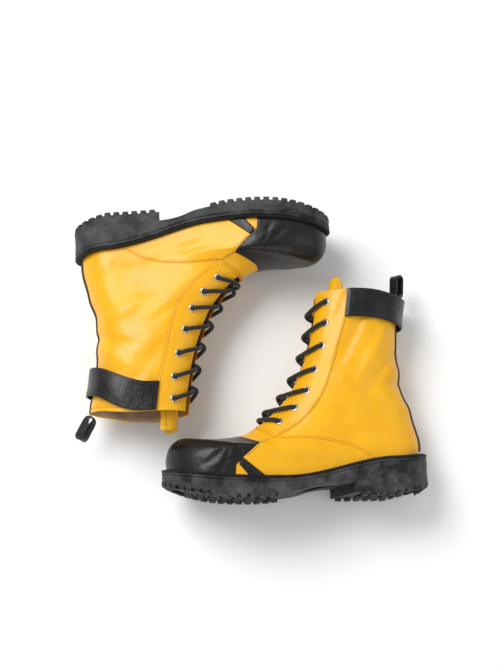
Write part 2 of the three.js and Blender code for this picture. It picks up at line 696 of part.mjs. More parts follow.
const pair = new THREE.Group();
const leftBoot = makeBoot("left", {
  leanFront: 0, leanBack: 0, strapDroop: 0, strapSlack: 5, loopLean: 4, tongueBack: 5,
});
const rightBoot = makeBoot("right", {
  leanFront: 6, leanBack: -11, strapDroop: 19, strapSlack: 6, loopLean: 30, tongueBack: 1.5,
});
const HEEL_LEFT = [203, -185.6];
const HEEL_RIGHT = [-211, 139.8];
pair.add(layDown(leftBoot, 1, 181.5, ...HEEL_LEFT));
pair.add(layDown(rightBoot, -1, 3.2, ...HEEL_RIGHT));
pair.updateMatrixWorld(true);
const extent = new THREE.Box3().setFromObject(pair, true);
const centre = extent.getCenter(new THREE.Vector3());
pair.position.set(-centre.x, -centre.y, -extent.min.z);
pair.updateMatrixWorld(true);

export default pair;
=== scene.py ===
"""A pair of lace-up leather mountain boots lying on their sides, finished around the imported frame.

Sizes inside a section are in millimetres on a standing boot: x from the back of the heel to the toe,
y to the outer side, z up from the tread. Each boot's own place carries them into the frame, in metres.
"""
import json
import math

import bmesh
import bpy
import numpy as np
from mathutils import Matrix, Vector, noise


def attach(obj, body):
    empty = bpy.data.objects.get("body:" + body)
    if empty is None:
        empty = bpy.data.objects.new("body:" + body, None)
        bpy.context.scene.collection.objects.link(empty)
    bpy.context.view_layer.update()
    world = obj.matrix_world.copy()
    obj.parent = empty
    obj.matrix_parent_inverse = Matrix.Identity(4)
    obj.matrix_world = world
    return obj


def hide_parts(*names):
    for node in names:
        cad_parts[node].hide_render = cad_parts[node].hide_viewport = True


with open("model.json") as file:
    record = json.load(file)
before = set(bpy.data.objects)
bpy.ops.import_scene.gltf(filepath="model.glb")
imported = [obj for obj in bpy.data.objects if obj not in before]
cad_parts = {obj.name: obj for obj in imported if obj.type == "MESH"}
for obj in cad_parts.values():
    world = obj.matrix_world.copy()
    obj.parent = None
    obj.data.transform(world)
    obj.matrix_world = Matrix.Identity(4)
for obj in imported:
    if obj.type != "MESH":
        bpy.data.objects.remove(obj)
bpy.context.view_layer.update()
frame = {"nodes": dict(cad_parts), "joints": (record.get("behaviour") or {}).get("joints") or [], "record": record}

# ---- Camera ----
# It looks down on the pair from a little below the lower boot, as over a table.
CAMERA_AWAY = 1.5
CAMERA_TILT = math.radians(13)
camera_data = bpy.data.cameras.new("camera")
camera_data.sensor_fit = "VERTICAL"
camera_data.sensor_height = 24
camera_data.lens = 45.8
camera = bpy.data.objects.new("camera", camera_data)
bpy.context.scene.collection.objects.link(camera)
looks_at = Vector((0.003, 0.0212, 0.045))
camera.location = looks_at + CAMERA_AWAY * Vector((0, -math.sin(CAMERA_TILT), math.cos(CAMERA_TILT)))
camera.rotation_euler = (CAMERA_TILT, 0, 0)
bpy.context.scene.camera = camera
bpy.context.scene.view_settings.view_transform = "Standard"

# ---- Lasts ----
# Each boot is shaped over a last. Its surface is a fan of slices from the welt to the collar, and
# a place on it is a slice, 0 at the welt to 1 at the collar, and a turn round it, 0 at the front.
SOLE_LENGTH = 304
SHAFT_HEIGHT = 211
PATTERN_LENGTH = 309
PATTERN_HEIGHT = 206
GRADE_X = SOLE_LENGTH / PATTERN_LENGTH
GRADE_Z = SHAFT_HEIGHT / PATTERN_HEIGHT
HEEL_HEIGHT = 44
FOREFOOT_HEIGHT = 23
TOE_SPRING = 13
BACK_RISE = 4
HEEL_HALF = 38.5
BALL_OUTER = 54
BALL_INNER = 50
HEEL_ROUND = 42
TOE_ROUND = 60
SHAFT_HALF = 36
COLLAR_HALF = 37
MOUNT_FROM_HEEL = 55
WELT_THICK = 3
WELT_LEDGE = 7
WALL = 3.4


def lerp(a, b, t):
    return a + (b - a) * t


def smooth(a, b, v):
    t = np.clip((v - a) / (b - a), 0, 1)
    return t * t * (3 - 2 * t)


def quarter_round(t):
    return np.sqrt(1 - (1 - np.clip(t, 0, 1)) ** 2)


def smooth_line(knots):
    """A curve through its knots, read at 0 for its start to 1 for its end."""
    knots = np.array(knots, float)
    last = len(knots) - 1

    def at(t):
        t = np.clip(np.asarray(t, float), 0, 1) * last
        i = np.minimum(t.astype(int), last - 1)
        w = (t - i)[..., None]
        a, b, c, d = knots[np.maximum(i - 1, 0)], knots[i], knots[i + 1], knots[np.minimum(i + 2, last)]
        start, end = (c - a) / 2, (d - b) / 2
        return ((2 * b - 2 * c + start + end) * w**3 + (3 * c - 3 * b - 2 * start - end) * w**2
                + start * w + b)
    return at


def width_table(ball, waist, toe):
    line = smooth_line([(0, HEEL_HALF), (0.15, HEEL_HALF), (0.37, waist), (0.66, ball),
                        (0.84, ball - 1), (1, toe)])
    return line(np.linspace(0, 1, 1500))


outer_width = width_table(BALL_OUTER, 42, 0.8 * BALL_OUTER)
inner_width = width_table(BALL_INNER, 36, 0.9 * BALL_INNER)
front_line = smooth_line([
    (302, -2.6), (303, 12), (298, 28), (284, 38.5), (254, 41), (220, 47), (201, 57), (183, 71),
    (161, 95), (146, 122), (137, 143), (130, 171), (125, 205)])
back_line = smooth_line([
    (9, -2.6), (8.5, 5), (8.5, 10), (9, 14), (10, 20), (12, 28), (15, 38), (19, 54),
    (26.5, 72), (29, 94), (31, 118), (29, 146), (24, 180)])
end_rounding = smooth_line([
    (52, 38), (54, 38), (60, 38), (76, 38), (98, 38), (100, 39), (88, 40), (74, 41),
    (62, 42), (55, 44), (52, 46), (50, 48), (50, 50)])
SPANS = 12
TOP_SPAN = 34
SLICES_PER_MM = 1 / (SPANS * TOP_SPAN * GRADE_Z)


def full_half(x, side):
    share = np.clip(x / SOLE_LENGTH, 0, 1)
    outer = np.interp(share, outer_width[:, 0], outer_width[:, 1])
    inner = np.interp(share, inner_width[:, 0], inner_width[:, 1])
    return np.where(side >= 0, outer, inner)


def sole_half(x, side, inset=0):
    return ((full_half(x, side) - inset) * quarter_round((x - inset) / (HEEL_ROUND - inset))
            * quarter_round((SOLE_LENGTH - inset - x) / (TOE_ROUND - inset)))


def welt_z(x):
    heel_front, waist_front, ball = 40 * GRADE_X, 168 * GRADE_X, 190 * GRADE_X
    toe_spring = TOE_SPRING * np.clip((x - ball) / (SOLE_LENGTH - ball), 0, 1) ** 2
    return (lerp(HEEL_HEIGHT, FOREFOOT_HEIGHT, smooth(heel_front, waist_front, x)) + toe_spring
            + BACK_RISE * (1 - smooth(0, heel_front, x)))


def pattern_of(h, turn):
    """Pattern x and height above the welt of places on the last."""
    s = (1 - np.cos(turn)) / 2
    front, back = front_line(h), back_line(h)
    return lerp(front[..., 0], back[..., 0], s), lerp(front[..., 1], back[..., 1], s)


def locate(x, height):
    """The slice and the turn, on the outer side, of pattern places."""
    x, height = np.asarray(x, float), np.asarray(height, float)
    low, high = np.zeros_like(x), np.ones_like(x)
    for _ in range(30):
        mid = (low + high) / 2
        front, back = front_line(mid), back_line(mid)
        s = np.clip((front[..., 0] - x) / (front[..., 0] - back[..., 0]), 0, 1)
        below = lerp(front[..., 1], back[..., 1], s) < height
        low, high = np.where(below, mid, low), np.where(below, high, mid)
    return low, np.arccos(np.clip(1 - 2 * s, -1, 1))


class Boot:
    """One boot's lean, folds and place in the frame."""

    def __init__(self, side, mirror, lean_front, lean_back, seam_shift, folds):
        self.side, self.mirror, self.seam_shift, self.folds = side, mirror, seam_shift, folds
        self.lean_front, self.lean_back = lean_front, lean_back
        tread = next(m for m in frame["record"]["mounts"] if m["name"] == f"{side}_heel_tread")
        hinge = next(j for j in frame["joints"] if j["name"] == f"{side}_strap_hinge")
        up = -Vector(tread["axis"]).normalized()
        out = Vector(hinge["axis"]).normalized() * mirror
        forward = out.cross(up) * mirror
        self.basis = np.array([forward, out, up])
        self.heel = np.array(tread["pos_m"]) - MOUNT_FROM_HEEL / 1000 * np.array(forward)

    def place(self, points):
        """Points of the standing boot, in millimetres, carried into the frame."""
        return self.heel + np.asarray(points, float) @ self.basis / 1000

    def body(self, part="boot"):
        return f"{self.side}_{part}"

    def slice_point(self, h, turn):
        s = (1 - np.cos(turn)) / 2
        front, back, round_off = front_line(h), back_line(h), end_rounding(h)
        length = np.hypot(*(front - back).T).T
        x, height = lerp(front[..., 0], back[..., 0], s), lerp(front[..., 1], back[..., 1], s)
        side = np.where(np.sin(turn) >= 0, 1, -1)
        foot = full_half(x * GRADE_X, side) - WELT_LEDGE
        shaft = lerp(SHAFT_HALF, COLLAR_HALF, smooth(90, 190, height))
        half = (lerp(foot, shaft, smooth(24, 92, height))
                * quarter_round(s * length / round_off[..., 0])
                * quarter_round((1 - s) * length / round_off[..., 1]))
        across = np.clip((135 - x) / 105, 0, 1)
        lean = lerp(self.lean_front, self.lean_back, across) * smooth(25, 200, height)
        real = (x + lean) * GRADE_X
        return np.stack([real, side * half, welt_z(real) + height * GRADE_Z], axis=-1)

    def skin(self, h, turn, lift=0):
        """Points on the last's surface, lifted off it along its normal."""
        h, turn = np.broadcast_arrays(np.asarray(h, float), np.asarray(turn, float))
        points = self.slice_point(h, turn)
        along = (self.slice_point(np.minimum(h + 0.004, 1), turn)
                 - self.slice_point(np.maximum(h - 0.004, 0), turn))
        around = self.slice_point(h, turn + 0.02) - self.slice_point(h, turn - 0.02)
        normal = np.cross(around, along)
        normal /= np.linalg.norm(normal, axis=-1, keepdims=True)
        return points + normal * np.asarray(lift, float)[..., None]

    def crease(self, h, turn):
        """How far the worn leather stands off the last: soft folds and a slow waviness."""
        x, height = pattern_of(h, turn)
        outer = np.sin(turn) >= 0
        lift = np.zeros_like(x)
        for side, start, end, width, depth in self.folds:
            start, end = np.array(start, float), np.array(end, float)
            run = end - start
            t = np.clip(((x - start[0]) * run[0] + (height - start[1]) * run[1]) / (run @ run), 0, 1)
            away = np.hypot(x - start[0] - t * run[0], height - start[1] - t * run[1])
            faded = np.sin(math.pi * np.clip(t * 0.9 + 0.05, 0, 1)) ** 0.5
            shape = np.exp(-(away / width) ** 2) * faded
            on_side = outer if side == "outer" else ~outer if side == "inner" else True
            lift += np.where(on_side, depth * shape, 0)
        return lift + self.waviness(x, height, outer)

    def waviness(self, x, height, outer):
        seed = (3 if self.mirror > 0 else 40) + np.where(outer, 0, 17)
        flat = [noise.noise((a / 34, b / 26, c)) * 0.9 + noise.noise((a / 13, b / 11, c + 9)) * 0.3
                for a, b, c in zip(x.ravel(), height.ravel(), seed.ravel())]
        return np.array(flat).reshape(x.shape) * smooth(-2, 14, height)

    def leather(self, h, turn, lift=0):
        """Points lifted off the worn leather, with its folds."""
        return self.skin(h, turn, lift + self.crease(h, turn))


ANKLE_FOLDS = [
    ("both", (26, 84), (66, 78), 5, -2.0), ("both", (24, 96), (58, 104), 7, 1.8),
    ("outer", (104, 112), (56, 190), 8, -3.0), ("outer", (84, 84), (36, 160), 7, 2.6),
    ("outer", (70, 74), (34, 120), 6, -2.2), ("outer", (112, 150), (92, 190), 6, -1.5),
    ("outer", (128, 70), (96, 52), 6, -2.0), ("outer", (104, 100), (74, 60), 7, 2.2),
    ("outer", (158, 30), (112, 16), 7, 1.8), ("outer", (180, 26), (150, 8), 6, -1.2),
    ("inner", (120, 96), (78, 82), 9, -1.2), ("inner", (110, 130), (70, 110), 8, 1.2),
]
TOE_FOLDS = [
    ("both", (262, 8), (236, 30), 3.2, -0.8), ("both", (252, 6), (229, 24), 2.6, 0.6),
    ("both", (243, 4), (231, 30), 2.4, -0.7), ("both", (285, 30), (262, 34), 5, -0.7),
]
SHAFT_FOLDS = [
    ("inner", (20, 92), (74, 116), 5, -2.0), ("inner", (22, 104), (90, 150), 7, 1.8),
    ("inner", (34, 84), (92, 66), 8, 1.4), ("inner", (96, 96), (128, 84), 5, -1.0),
    ("inner", (112, 118), (60, 172), 10, -1.4), ("inner", (176, 26), (120, 22), 6, 1.1),
    ("inner", (160, 14), (100, 8), 5, -0.7), ("outer", (22, 92), (70, 112), 5, -1.8),
    ("outer", (110, 120), (60, 150), 9, 1.3),
]
boots = [Boot("left", 1, 0, 0, 0, ANKLE_FOLDS + TOE_FOLDS),
         Boot("right", -1, 6, -11, 8, SHAFT_FOLDS + TOE_FOLDS)]

# ---- Outsoles ----
# Each unit sole is one black rubber moulding: a beaded rim, a plain wall, a heel block with a
# slanting breast, an arched waist, and lugs round the edge and down the middle of the tread.
LUG_DEPTH = 3.4
LUG_PITCH = 10.5
LUG_WIDTH = 7.4
LUGS_FROM = 163
BREAST = 98.5
BREAST_SLANT = 9.5
HEEL_BEVEL = 13
BEVEL_REACH = 46
STATIONS = 110
RIM_HEIGHT = 5.2
RIM_SECTION = [(0, 2.6), (0.1, 1.0), (0.6, 0.3), (1.5, 0), (2.4, 0.3), (2.9, 1.2), (3.7, 1.3),
               (4.3, 0.5), (RIM_HEIGHT, 0.15)]


class Wire:
    """A shader socket that can be used in sums, such as 1 - mask."""

    def __init__(self, finish, socket):
        self.finish, self.socket = finish, socket

    def maths(self, operation, first, second):
        return self.finish.node("ShaderNodeMath", {"operation": operation}, {0: first, 1: second})

    def __add__(self, other):
        return self.maths("ADD", self, other)

    def __rsub__(self, other):
        return self.maths("SUBTRACT", other, self)

    def __mul__(self, other):
        return self.maths("MULTIPLY", self, other)

    __radd__ = __add__
    __rmul__ = __mul__


class Finish:
    """A material under construction, around one Principled shader."""

    def __init__(self, name, **constants):
        self.material = bpy.data.materials.new(name)
        self.material.use_nodes = True
        self.tree = self.material.node_tree
        self.shader = self.tree.nodes["Principled BSDF"]
        for key, value in constants.items():
            self.shader.inputs[self.socket_name(key)].default_value = value
        self.place = self.node("ShaderNodeTexCoord", {}, {}, "Object")

    @staticmethod
    def socket_name(word):
        return word.replace("_", " ").title().replace("Ior", "IOR")

    def node(self, kind, settings, inputs, output=0):
        """One node: its settings first, then the values or wires of its sockets."""
        made = self.tree.nodes.new(kind)
        for key, value in settings.items():
            if key == "stops":
                ramp = made.color_ramp.elements
                ramp[0].position, ramp[0].color = value[0]
                ramp[1].position, ramp[1].color = value[-1]
                for position, colour in value[1:-1]:
                    ramp.new(position).color = colour
            else:
                setattr(made, key, value)
        for key, value in inputs.items():
            if isinstance(value, Wire):
                self.tree.links.new(value.socket, made.inputs[key])
            else:
                made.inputs[key].default_value = value
        return Wire(self, made.outputs[output])

    def noise(self, scale, detail=2.0, roughness=0.5, at=None):
        inputs = {"Vector": at or self.place, "Scale": scale, "Detail": detail, "Roughness": roughness}
        return self.node("ShaderNodeTexNoise", {}, inputs)

    def stretch(self, value, low, high):
        """The value spread so that low to high becomes 0 to 1."""
        return self.node("ShaderNodeMapRange", {}, {"Value": value, "From Min": low, "From Max": high})

    def blend(self, mask, first, second):
        """Two colours mixed by a mask."""
        return self.node("ShaderNodeMix", {"data_type": "RGBA"}, {0: mask, 6: first, 7: second}, 2)

    def attribute(self, name):
        return self.node("ShaderNodeAttribute", {"attribute_name": name}, {}, "Fac")

    def drive(self, **wires):
        for key, wire in wires.items():
            self.tree.links.new(wire.socket, self.shader.inputs[self.socket_name(key)])

    def bump(self, height, depth, under=None):
        """A bump of a depth in metres, on top of another."""
        inputs = {"Strength": 1.0, "Distance": depth, "Height": height}
        if under:
            inputs["Normal"] = under
        return self.node("ShaderNodeBump", {}, inputs)


def rubber_finish(name, tone, dust_and_sheen_tone):
    """Moulded rubber: nearly black, with a grey bloom that rubs off in patches; the grey is partly real bloom and
    partly painted sheen.
    """
    rubber = Finish(name, specular_ior_level=0.22)
    patches = rubber.stretch(rubber.noise(38, 4, 0.62), 0.42, 0.72)
    specks = rubber.stretch(rubber.noise(900, 2), 0.5, 0.75)
    # Painted sheen: the grey patches and specks lighten the rubber as glare would, on top of its real bloom.
    dust_and_sheen_colour = rubber.blend(patches * 0.7 + specks * 0.18, (tone, tone, tone * 1.04, 1),
                         (dust_and_sheen_tone, dust_and_sheen_tone, dust_and_sheen_tone * 1.06, 1))
    rubber.drive(base_color=dust_and_sheen_colour, roughness=0.46 + 0.3 * patches + 0.1 * specks)
    skin = rubber.bump(rubber.noise(1500, 3), 0.00012)
    rubber.drive(normal=rubber.bump(rubber.noise(160, 3), 0.0004, skin))
    return rubber.material


# The sole's grey tone of 0.12 is lifted above a plain bloom's so that it also paints in sheen.
sole_rubber = rubber_finish("sole_rubber", 0.009, 0.12)


def clear_selection():
    bpy.ops.object.select_all(action="DESELECT")


def corners(piece):
    return np.array([vertex.co for vertex in piece.data.vertices])


def moved(piece, points):
    """The piece with its corners carried to points in the frame."""
    piece.data.vertices.foreach_set("co", np.ascontiguousarray(points, np.float32).ravel())
    piece.data.update()
    return piece


def laid_sheet(name, points):
    """A grid primitive whose corners are laid on rows of points, given in the frame."""
    rows, cols = points.shape[:2]
    clear_selection()
    bpy.ops.mesh.primitive_grid_add(x_subdivisions=cols - 1, y_subdivisions=rows - 1)
    sheet = bpy.context.object
    sheet.name = sheet.data.name = name
    return moved(sheet, points)


def close_up(piece, distance=1e-6):
    """Doubles merged and all faces turned outwards."""
    clear_selection()
    piece.select_set(True)
    bpy.context.view_layer.objects.active = piece
    bpy.ops.object.mode_set(mode="EDIT")
    bpy.ops.mesh.select_all(action="SELECT")
    bpy.ops.mesh.remove_doubles(threshold=distance)
    bpy.ops.mesh.normals_make_consistent(inside=False)
    bpy.ops.object.mode_set(mode="OBJECT")


def apply_modifier(piece, kind, **settings):
    modifier = piece.modifiers.new(kind.lower(), kind)
    for key, value in settings.items():
        setattr(modifier, key, value)
    clear_selection()
    piece.select_set(True)
    bpy.context.view_layer.objects.active = piece
    bpy.ops.object.modifier_apply(modifier=modifier.name)


def fitted(piece, body, material, slot, *nodes, sharp=None):
    """The piece gets its finish, rides on its body and stands for its CAD nodes."""
    piece.data.materials.clear()
    piece.data.materials.append(material)
    clear_selection()
    piece.select_set(True)
    bpy.context.view_layer.objects.active = piece
    if sharp:
        bpy.ops.object.shade_smooth_by_angle(angle=math.radians(sharp))
    else:
        bpy.ops.object.shade_smooth()
    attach(piece, body)
    if nodes:
        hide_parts(*nodes)
    return piece


def many_copies(name, template, places):
    """One mesh of a template's points and faces, copied to each 4 x 4 place, in millimetres."""
    points, faces = template
    count = len(points)
    padded = np.c_[points, np.ones(count)]
    all_points = np.concatenate([padded @ np.asarray(place).T for place in places])[:, :3]
    all_faces = [[i + k * count for i in face] for k in range(len(places)) for face in faces]
    mesh = bpy.data.meshes.new(name)
    mesh.from_pydata(all_points.tolist(), [], all_faces)
    piece = bpy.data.objects.new(name, mesh)
    bpy.context.scene.collection.objects.link(piece)
    return piece


def template_of(piece):
    points, faces = corners(piece), [list(face.vertices) for face in piece.data.polygons]
    bpy.data.objects.remove(piece)
    return points, faces


def sole_ring():
    """Plan points round the sole, their outward normals, and the middle of each one's station."""
    middle = SOLE_LENGTH * (1 - np.cos(np.linspace(0, math.pi, STATIONS + 1))) / 2
    beside = np.searchsorted(middle, BREAST)
    middle = np.insert(np.delete(middle, beside), beside, [BREAST - 1e-4, BREAST + 1e-4])
    slant = BREAST_SLANT * smooth(20, BREAST, middle) * (1 - smooth(BREAST, 160, middle))
    sides = {}
    for side in (1, -1):
        x = middle - side * slant
        sides[side] = np.stack([x, side * sole_half(x, side)], axis=-1)
    centre = (sides[1] + sides[-1]) / 2
    ring = np.concatenate([sides[1], sides[-1][::-1]])
    centres = np.concatenate([centre, centre[::-1]])
    stations = np.concatenate([middle, middle[::-1]])
    run = np.roll(ring, -2, axis=0) - np.roll(ring, 2, axis=0)
    normals = np.stack([-run[:, 1], run[:, 0]], axis=-1)
    normals /= np.maximum(np.linalg.norm(normals, axis=1, keepdims=True), 1e-9)
    return ring, normals, centres, stations


arch_line = smooth_line([(x * GRADE_X, z) for x, z in [
    (0, 14), (60, 14), (112, 14), (136, 11.5), (156, 5), (180, 0.6), (212, 0), (245, 1.8),
    (275, 7), (300, 14), (PATTERN_LENGTH, 18)]])(np.linspace(0, 1, 400))


def tread_z(x, station):
    """Height of the tread plane, without lugs: the heel's, then the arch and forefoot's."""
    heel = np.interp(x, [0, 5, BEVEL_REACH], [HEEL_BEVEL, 9, 0])
    return np.where(station < BREAST, heel, np.interp(x, arch_line[:, 0], arch_line[:, 1]))


def breast_x(y):
    """Where the slanting breast of the heel stands, at a place across the sole."""
    return BREAST - BREAST_SLANT * y / HEEL_HALF


def lug_room(x, station):
    return np.where(station < BREAST, LUG_DEPTH, LUG_DEPTH * smooth(138, 172, x))


def sole_body(boot):
    ring, normals, centres, stations = sole_ring()
    x = ring[:, 0]
    top = welt_z(x) - WELT_THICK
    bottom = tread_z(x, stations) + lug_room(x, stations)
    rows = []

    def row(z, inset=0.0, share=1.0):
        plan = centres + (ring - centres) * share - normals * inset * min(1, share)
        rows.append(np.column_stack([plan, z]))

    row(top, 0, 0)
    row(top, 6, 0.96)
    for drop, inset in RIM_SECTION:
        row(top - drop, inset)
    for share in np.linspace(0.12, 0.86, 6):
        row(lerp(top - RIM_HEIGHT, bottom + 0.9, share), 0.1 + 0.5 * math.sin(math.pi * share))
    row(bottom + 0.9, 0.1)
    row(bottom, 0.9)
    for share in (0.93, 0.8, 0.6, 0.4, 0.2, 0):
        row(bottom, 0.9 * share, share)
    points = np.array(rows)
    points = np.concatenate([points, points[:, :1]], axis=1)
    body = laid_sheet(boot.body("outsole_body"), boot.place(points))
    close_up(body, 2e-6)
    return body


def lug_block(half_width, shoulder, point, draft):
    """A lug pointing inwards from the edge of the sole, with worn, rounded corners."""
    outline = [(-half_width, 0), (half_width, 0), (half_width, shoulder), (0, point),
               (-half_width, shoulder)]
    clear_selection()
    bpy.ops.mesh.primitive_cylinder_add(vertices=5, radius=1, depth=LUG_DEPTH + 1, end_fill_type="NGON")
    block = bpy.context.object
    for vertex in block.data.vertices:
        turn = round((math.degrees(math.atan2(vertex.co.x, vertex.co.y)) % 360) / 72) % 5
        below = vertex.co.z < 0
        x, y = outline[turn]
        shrink = draft if below else 1
        centre_y = point * 0.45
        inner = shrink if y > 0 else 1
        vertex.co = (x * shrink, centre_y + (y - centre_y) * inner, -LUG_DEPTH if below else 1)
    apply_modifier(block, "BEVEL", width=0.7, segments=2, limit_method="ANGLE")
    return template_of(block)


def lug_places():
    """Edge lugs at an even pitch round the sole, then rows of lugs down the middle."""
    ring, _, _, _ = sole_ring()
    loop = np.concatenate([ring, ring[:1]])
    steps = np.r_[0, np.cumsum(np.hypot(*np.diff(loop, axis=0).T))]
    count = round(steps[-1] / LUG_PITCH)
    edge, inner = [], []

    def stand(x, y, along, side):
        station = BREAST - 1 if x < breast_x(y) else BREAST + 1
        slope = (tread_z(x + 2, station) - tread_z(x - 2, station)) / 4
        inward = np.array([-along[1], along[0]]) * side
        z = tread_z(x, station) + LUG_DEPTH
        return np.array([
            [along[0], inward[0], 0, x], [along[1], inward[1], 0, y],
            [slope * along[0], slope * inward[0], 1, z], [0, 0, 0, 1]])

    for i in range(count):
        at = (i + 0.5) / count * steps[-1]
        here = np.array([np.interp(at, steps, loop[:, k]) for k in (0, 1)])
        ahead = np.array([np.interp((at + 1) % steps[-1], steps, loop[:, k]) for k in (0, 1)])
        along = (ahead - here) / np.linalg.norm(ahead - here)
        if here[0] < breast_x(here[1]) - 4 or here[0] > LUGS_FROM:
            edge.append(stand(*here, along, -1))
    for x in np.arange(176, 284, 13.5):
        for share, turn in [(-0.4, -1.1), (0, -1.57), (0.4, -2.0)]:
            room = sole_half(x, 1 if share > 0 else -1) - 15
            inner.append(stand(x, share * 2 * room, (math.cos(turn), math.sin(turn)), 1))
    for x in (34, 48, 62, 76):
        for share, turn in [(-0.28, -1.2), (0.28, -1.9)]:
            inner.append(stand(x, share * 44, (math.cos(turn), math.sin(turn)), 1))
    return edge, inner


edge_lug = lug_block(LUG_WIDTH / 2, 8.5, 13, 0.86)
inner_lug = lug_block(6.2, 3.5, 9.5, 0.88)
edge_places, inner_places = lug_places()
for boot in boots:
    sole = sole_body(boot)
    lugs = [many_copies("edge_lugs", edge_lug, edge_places),
            many_copies("inner_lugs", inner_lug, inner_places)]
    for rows_of_lugs in lugs:
        moved(rows_of_lugs, boot.place(corners(rows_of_lugs)))
        if boot.mirror < 0:
            rows_of_lugs.data.flip_normals()
    clear_selection()
    for part in [*lugs, sole]:
        part.select_set(True)
    bpy.context.view_layer.objects.active = sole
    bpy.ops.object.join()
    fitted(sole, boot.body(), sole_rubber, "sole_rubber", boot.body("outsole"), sharp=38)

# ---- Welts ----
# Round the foot of each upper lies a moulded rubber strip with a raised bead at both edges. It is
# bonded to the outsole and lockstitched down through it, along the groove between the beads.
WELT_STITCH = 4.6
WELT_GROOVE = 4.0
WELT_SECTION = [
    (7.6, -0.4), (6.2, 0.15), (4.6, 0.1), (4.0, -0.5), (3.4, 0.15), (1.6, 0.1), (0.5, -0.4),
    (-0.1, -1.4), (0.4, -2.5), (1.4, -2.95), (7.6, -3.0), (7.6, -0.4)]
welt_rubber = rubber_finish("welt_rubber", 0.008, 0.03)


def stitch_template(length, radius):
    """One stitch, lying along x, with rounded ends and its lower half under the surface."""
    clear_selection()
    bpy.ops.mesh.primitive_uv_sphere_add(segments=8, ring_count=6, radius=radius)
    stitch = bpy.context.object
    for vertex in stitch.data.vertices:
        x, y, z = vertex.co
        vertex.co = (z + math.copysign(length / 2 - radius, z) * (abs(z) > 1e-6), y, x)
    stitch.data.flip_normals()
    return template_of(stitch)


def stitch_places(points, normals, pitch):
    """Places along a line, in millimetres, one stitch apart, each with its back on the surface."""
    points, normals = np.asarray(points), np.asarray(normals)
    steps = np.r_[0, np.cumsum(np.linalg.norm(np.diff(points, axis=0), axis=1))]
    at = (np.arange(max(1, int(steps[-1] / pitch))) + 0.5) * pitch

    def read(line, where):
        return np.stack([np.interp(where, steps, line[:, k]) for k in range(3)], axis=-1)
    here, ahead, up = read(points, at - pitch / 3), read(points, at + pitch / 3), read(normals, at)
    along = (ahead - here) / np.linalg.norm(ahead - here, axis=1, keepdims=True)
    across = np.cross(up, along)
    across /= np.linalg.norm(across, axis=1, keepdims=True)
    places = np.zeros((len(at), 4, 4))
    places[:, :3, 0], places[:, :3, 1], places[:, :3, 2] = along, across, np.cross(along, across)
    places[:, :3, 3], places[:, 3, 3] = (here + ahead) / 2, 1
    return list(places)


def stitched(boot, name, template, places, material, slot, body=None):
    """A row of stitches, sewn into one body of a boot."""
    row = many_copies(name, template, places)
    moved(row, boot.place(corners(row)))
    close_up(row, 1e-7)
    return fitted(row, body or boot.body(), material, slot)


welt_stitch = stitch_template(3.3, 0.5)
ring, ring_normals, _, _ = sole_ring()
for boot in boots:
    rows = []
    for inset, rise in WELT_SECTION:
        plan = ring - ring_normals * inset
        rough = 0.12 * np.sin(np.arange(len(ring)) * 1.9 + inset * 3)
        rows.append(np.column_stack([plan, welt_z(plan[:, 0]) + rise + rough]))
    rows = np.array(rows)
    welt = laid_sheet(boot.body("welt_strip"), boot.place(np.concatenate([rows, rows[:, :1]], axis=1)))
    close_up(welt, 2e-6)
    fitted(welt, boot.body(), welt_rubber, "welt_rubber", boot.body("welt"), sharp=50)
    groove = ring - ring_normals * WELT_GROOVE
    line = np.column_stack([groove, welt_z(groove[:, 0]) + 0.05])
    upright = np.tile([0.0, 0.0, 1.0], (len(line), 1))
    keep = np.r_[True, np.linalg.norm(np.diff(line, axis=0), axis=1) > 0.05]
    places = stitch_places(line[keep], upright[keep], WELT_STITCH)
    stitched(boot, boot.body("welt_stitches"), welt_stitch, places, welt_rubber, "welt_rubber")

# ---- Shanks, boards and footbeds ----
# A spring steel shank stiffens the waist, riveted under a pressed fibre board that the upper is
# lasted to. A thin foam footbed with a woven cover lies on the board, inside the boot.
shank_finish = Finish("brushed_shank", metallic=1.0, roughness=0.4)
brushed = shank_finish.node(
    "ShaderNodeMapping", {}, {"Vector": shank_finish.place, "Scale": (60, 900, 60)})
streaks = shank_finish.noise(3, 4, at=brushed)
shank_finish.drive(
    base_color=shank_finish.blend(streaks, (0.32, 0.32, 0.33, 1), (0.6, 0.6, 0.61, 1)),
    roughness=0.25 + 0.35 * streaks, normal=shank_finish.bump(streaks, 0.00005))
board_finish = Finish("fibre_board", roughness=0.9)
fibres = board_finish.noise(420, 5, 0.7)
board_finish.drive(
    base_color=board_finish.blend(fibres, (0.26, 0.17, 0.09, 1), (0.5, 0.37, 0.22, 1)),
    normal=board_finish.bump(fibres, 0.0002))


def woven_finish(name, dark, light):
    """A plain woven lining: two crossing sets of threads, a little soiled in patches."""
    cloth = Finish(name, roughness=0.88, sheen_weight=0.2)
    weave = {"Vector": cloth.place, "Scale": 260, "Distortion": 1.5}
    warp, weft = (cloth.node("ShaderNodeTexWave", {"bands_direction": way}, weave) for way in ("X", "Y"))
    soiled = cloth.stretch(cloth.noise(45, 4), 0.35, 0.7)
    threads = warp * 0.5 + weft * 0.5
    cloth.drive(base_color=cloth.blend(soiled * 0.6 + threads * 0.3, dark, light),
                normal=cloth.bump(threads, 0.00012))
    return cloth.material


lining_cloth = woven_finish("lining_cloth", (0.26, 0.17, 0.1, 1), (0.56, 0.4, 0.27, 1))
for boot in boots:
    for part, finish in [("shank", shank_finish.material), ("insole_board", board_finish.material),
                         ("footbed", lining_cloth)]:
        node = frame["nodes"][boot.body(part)]
        node.data.materials.clear()
        node.data.materials.append(finish)

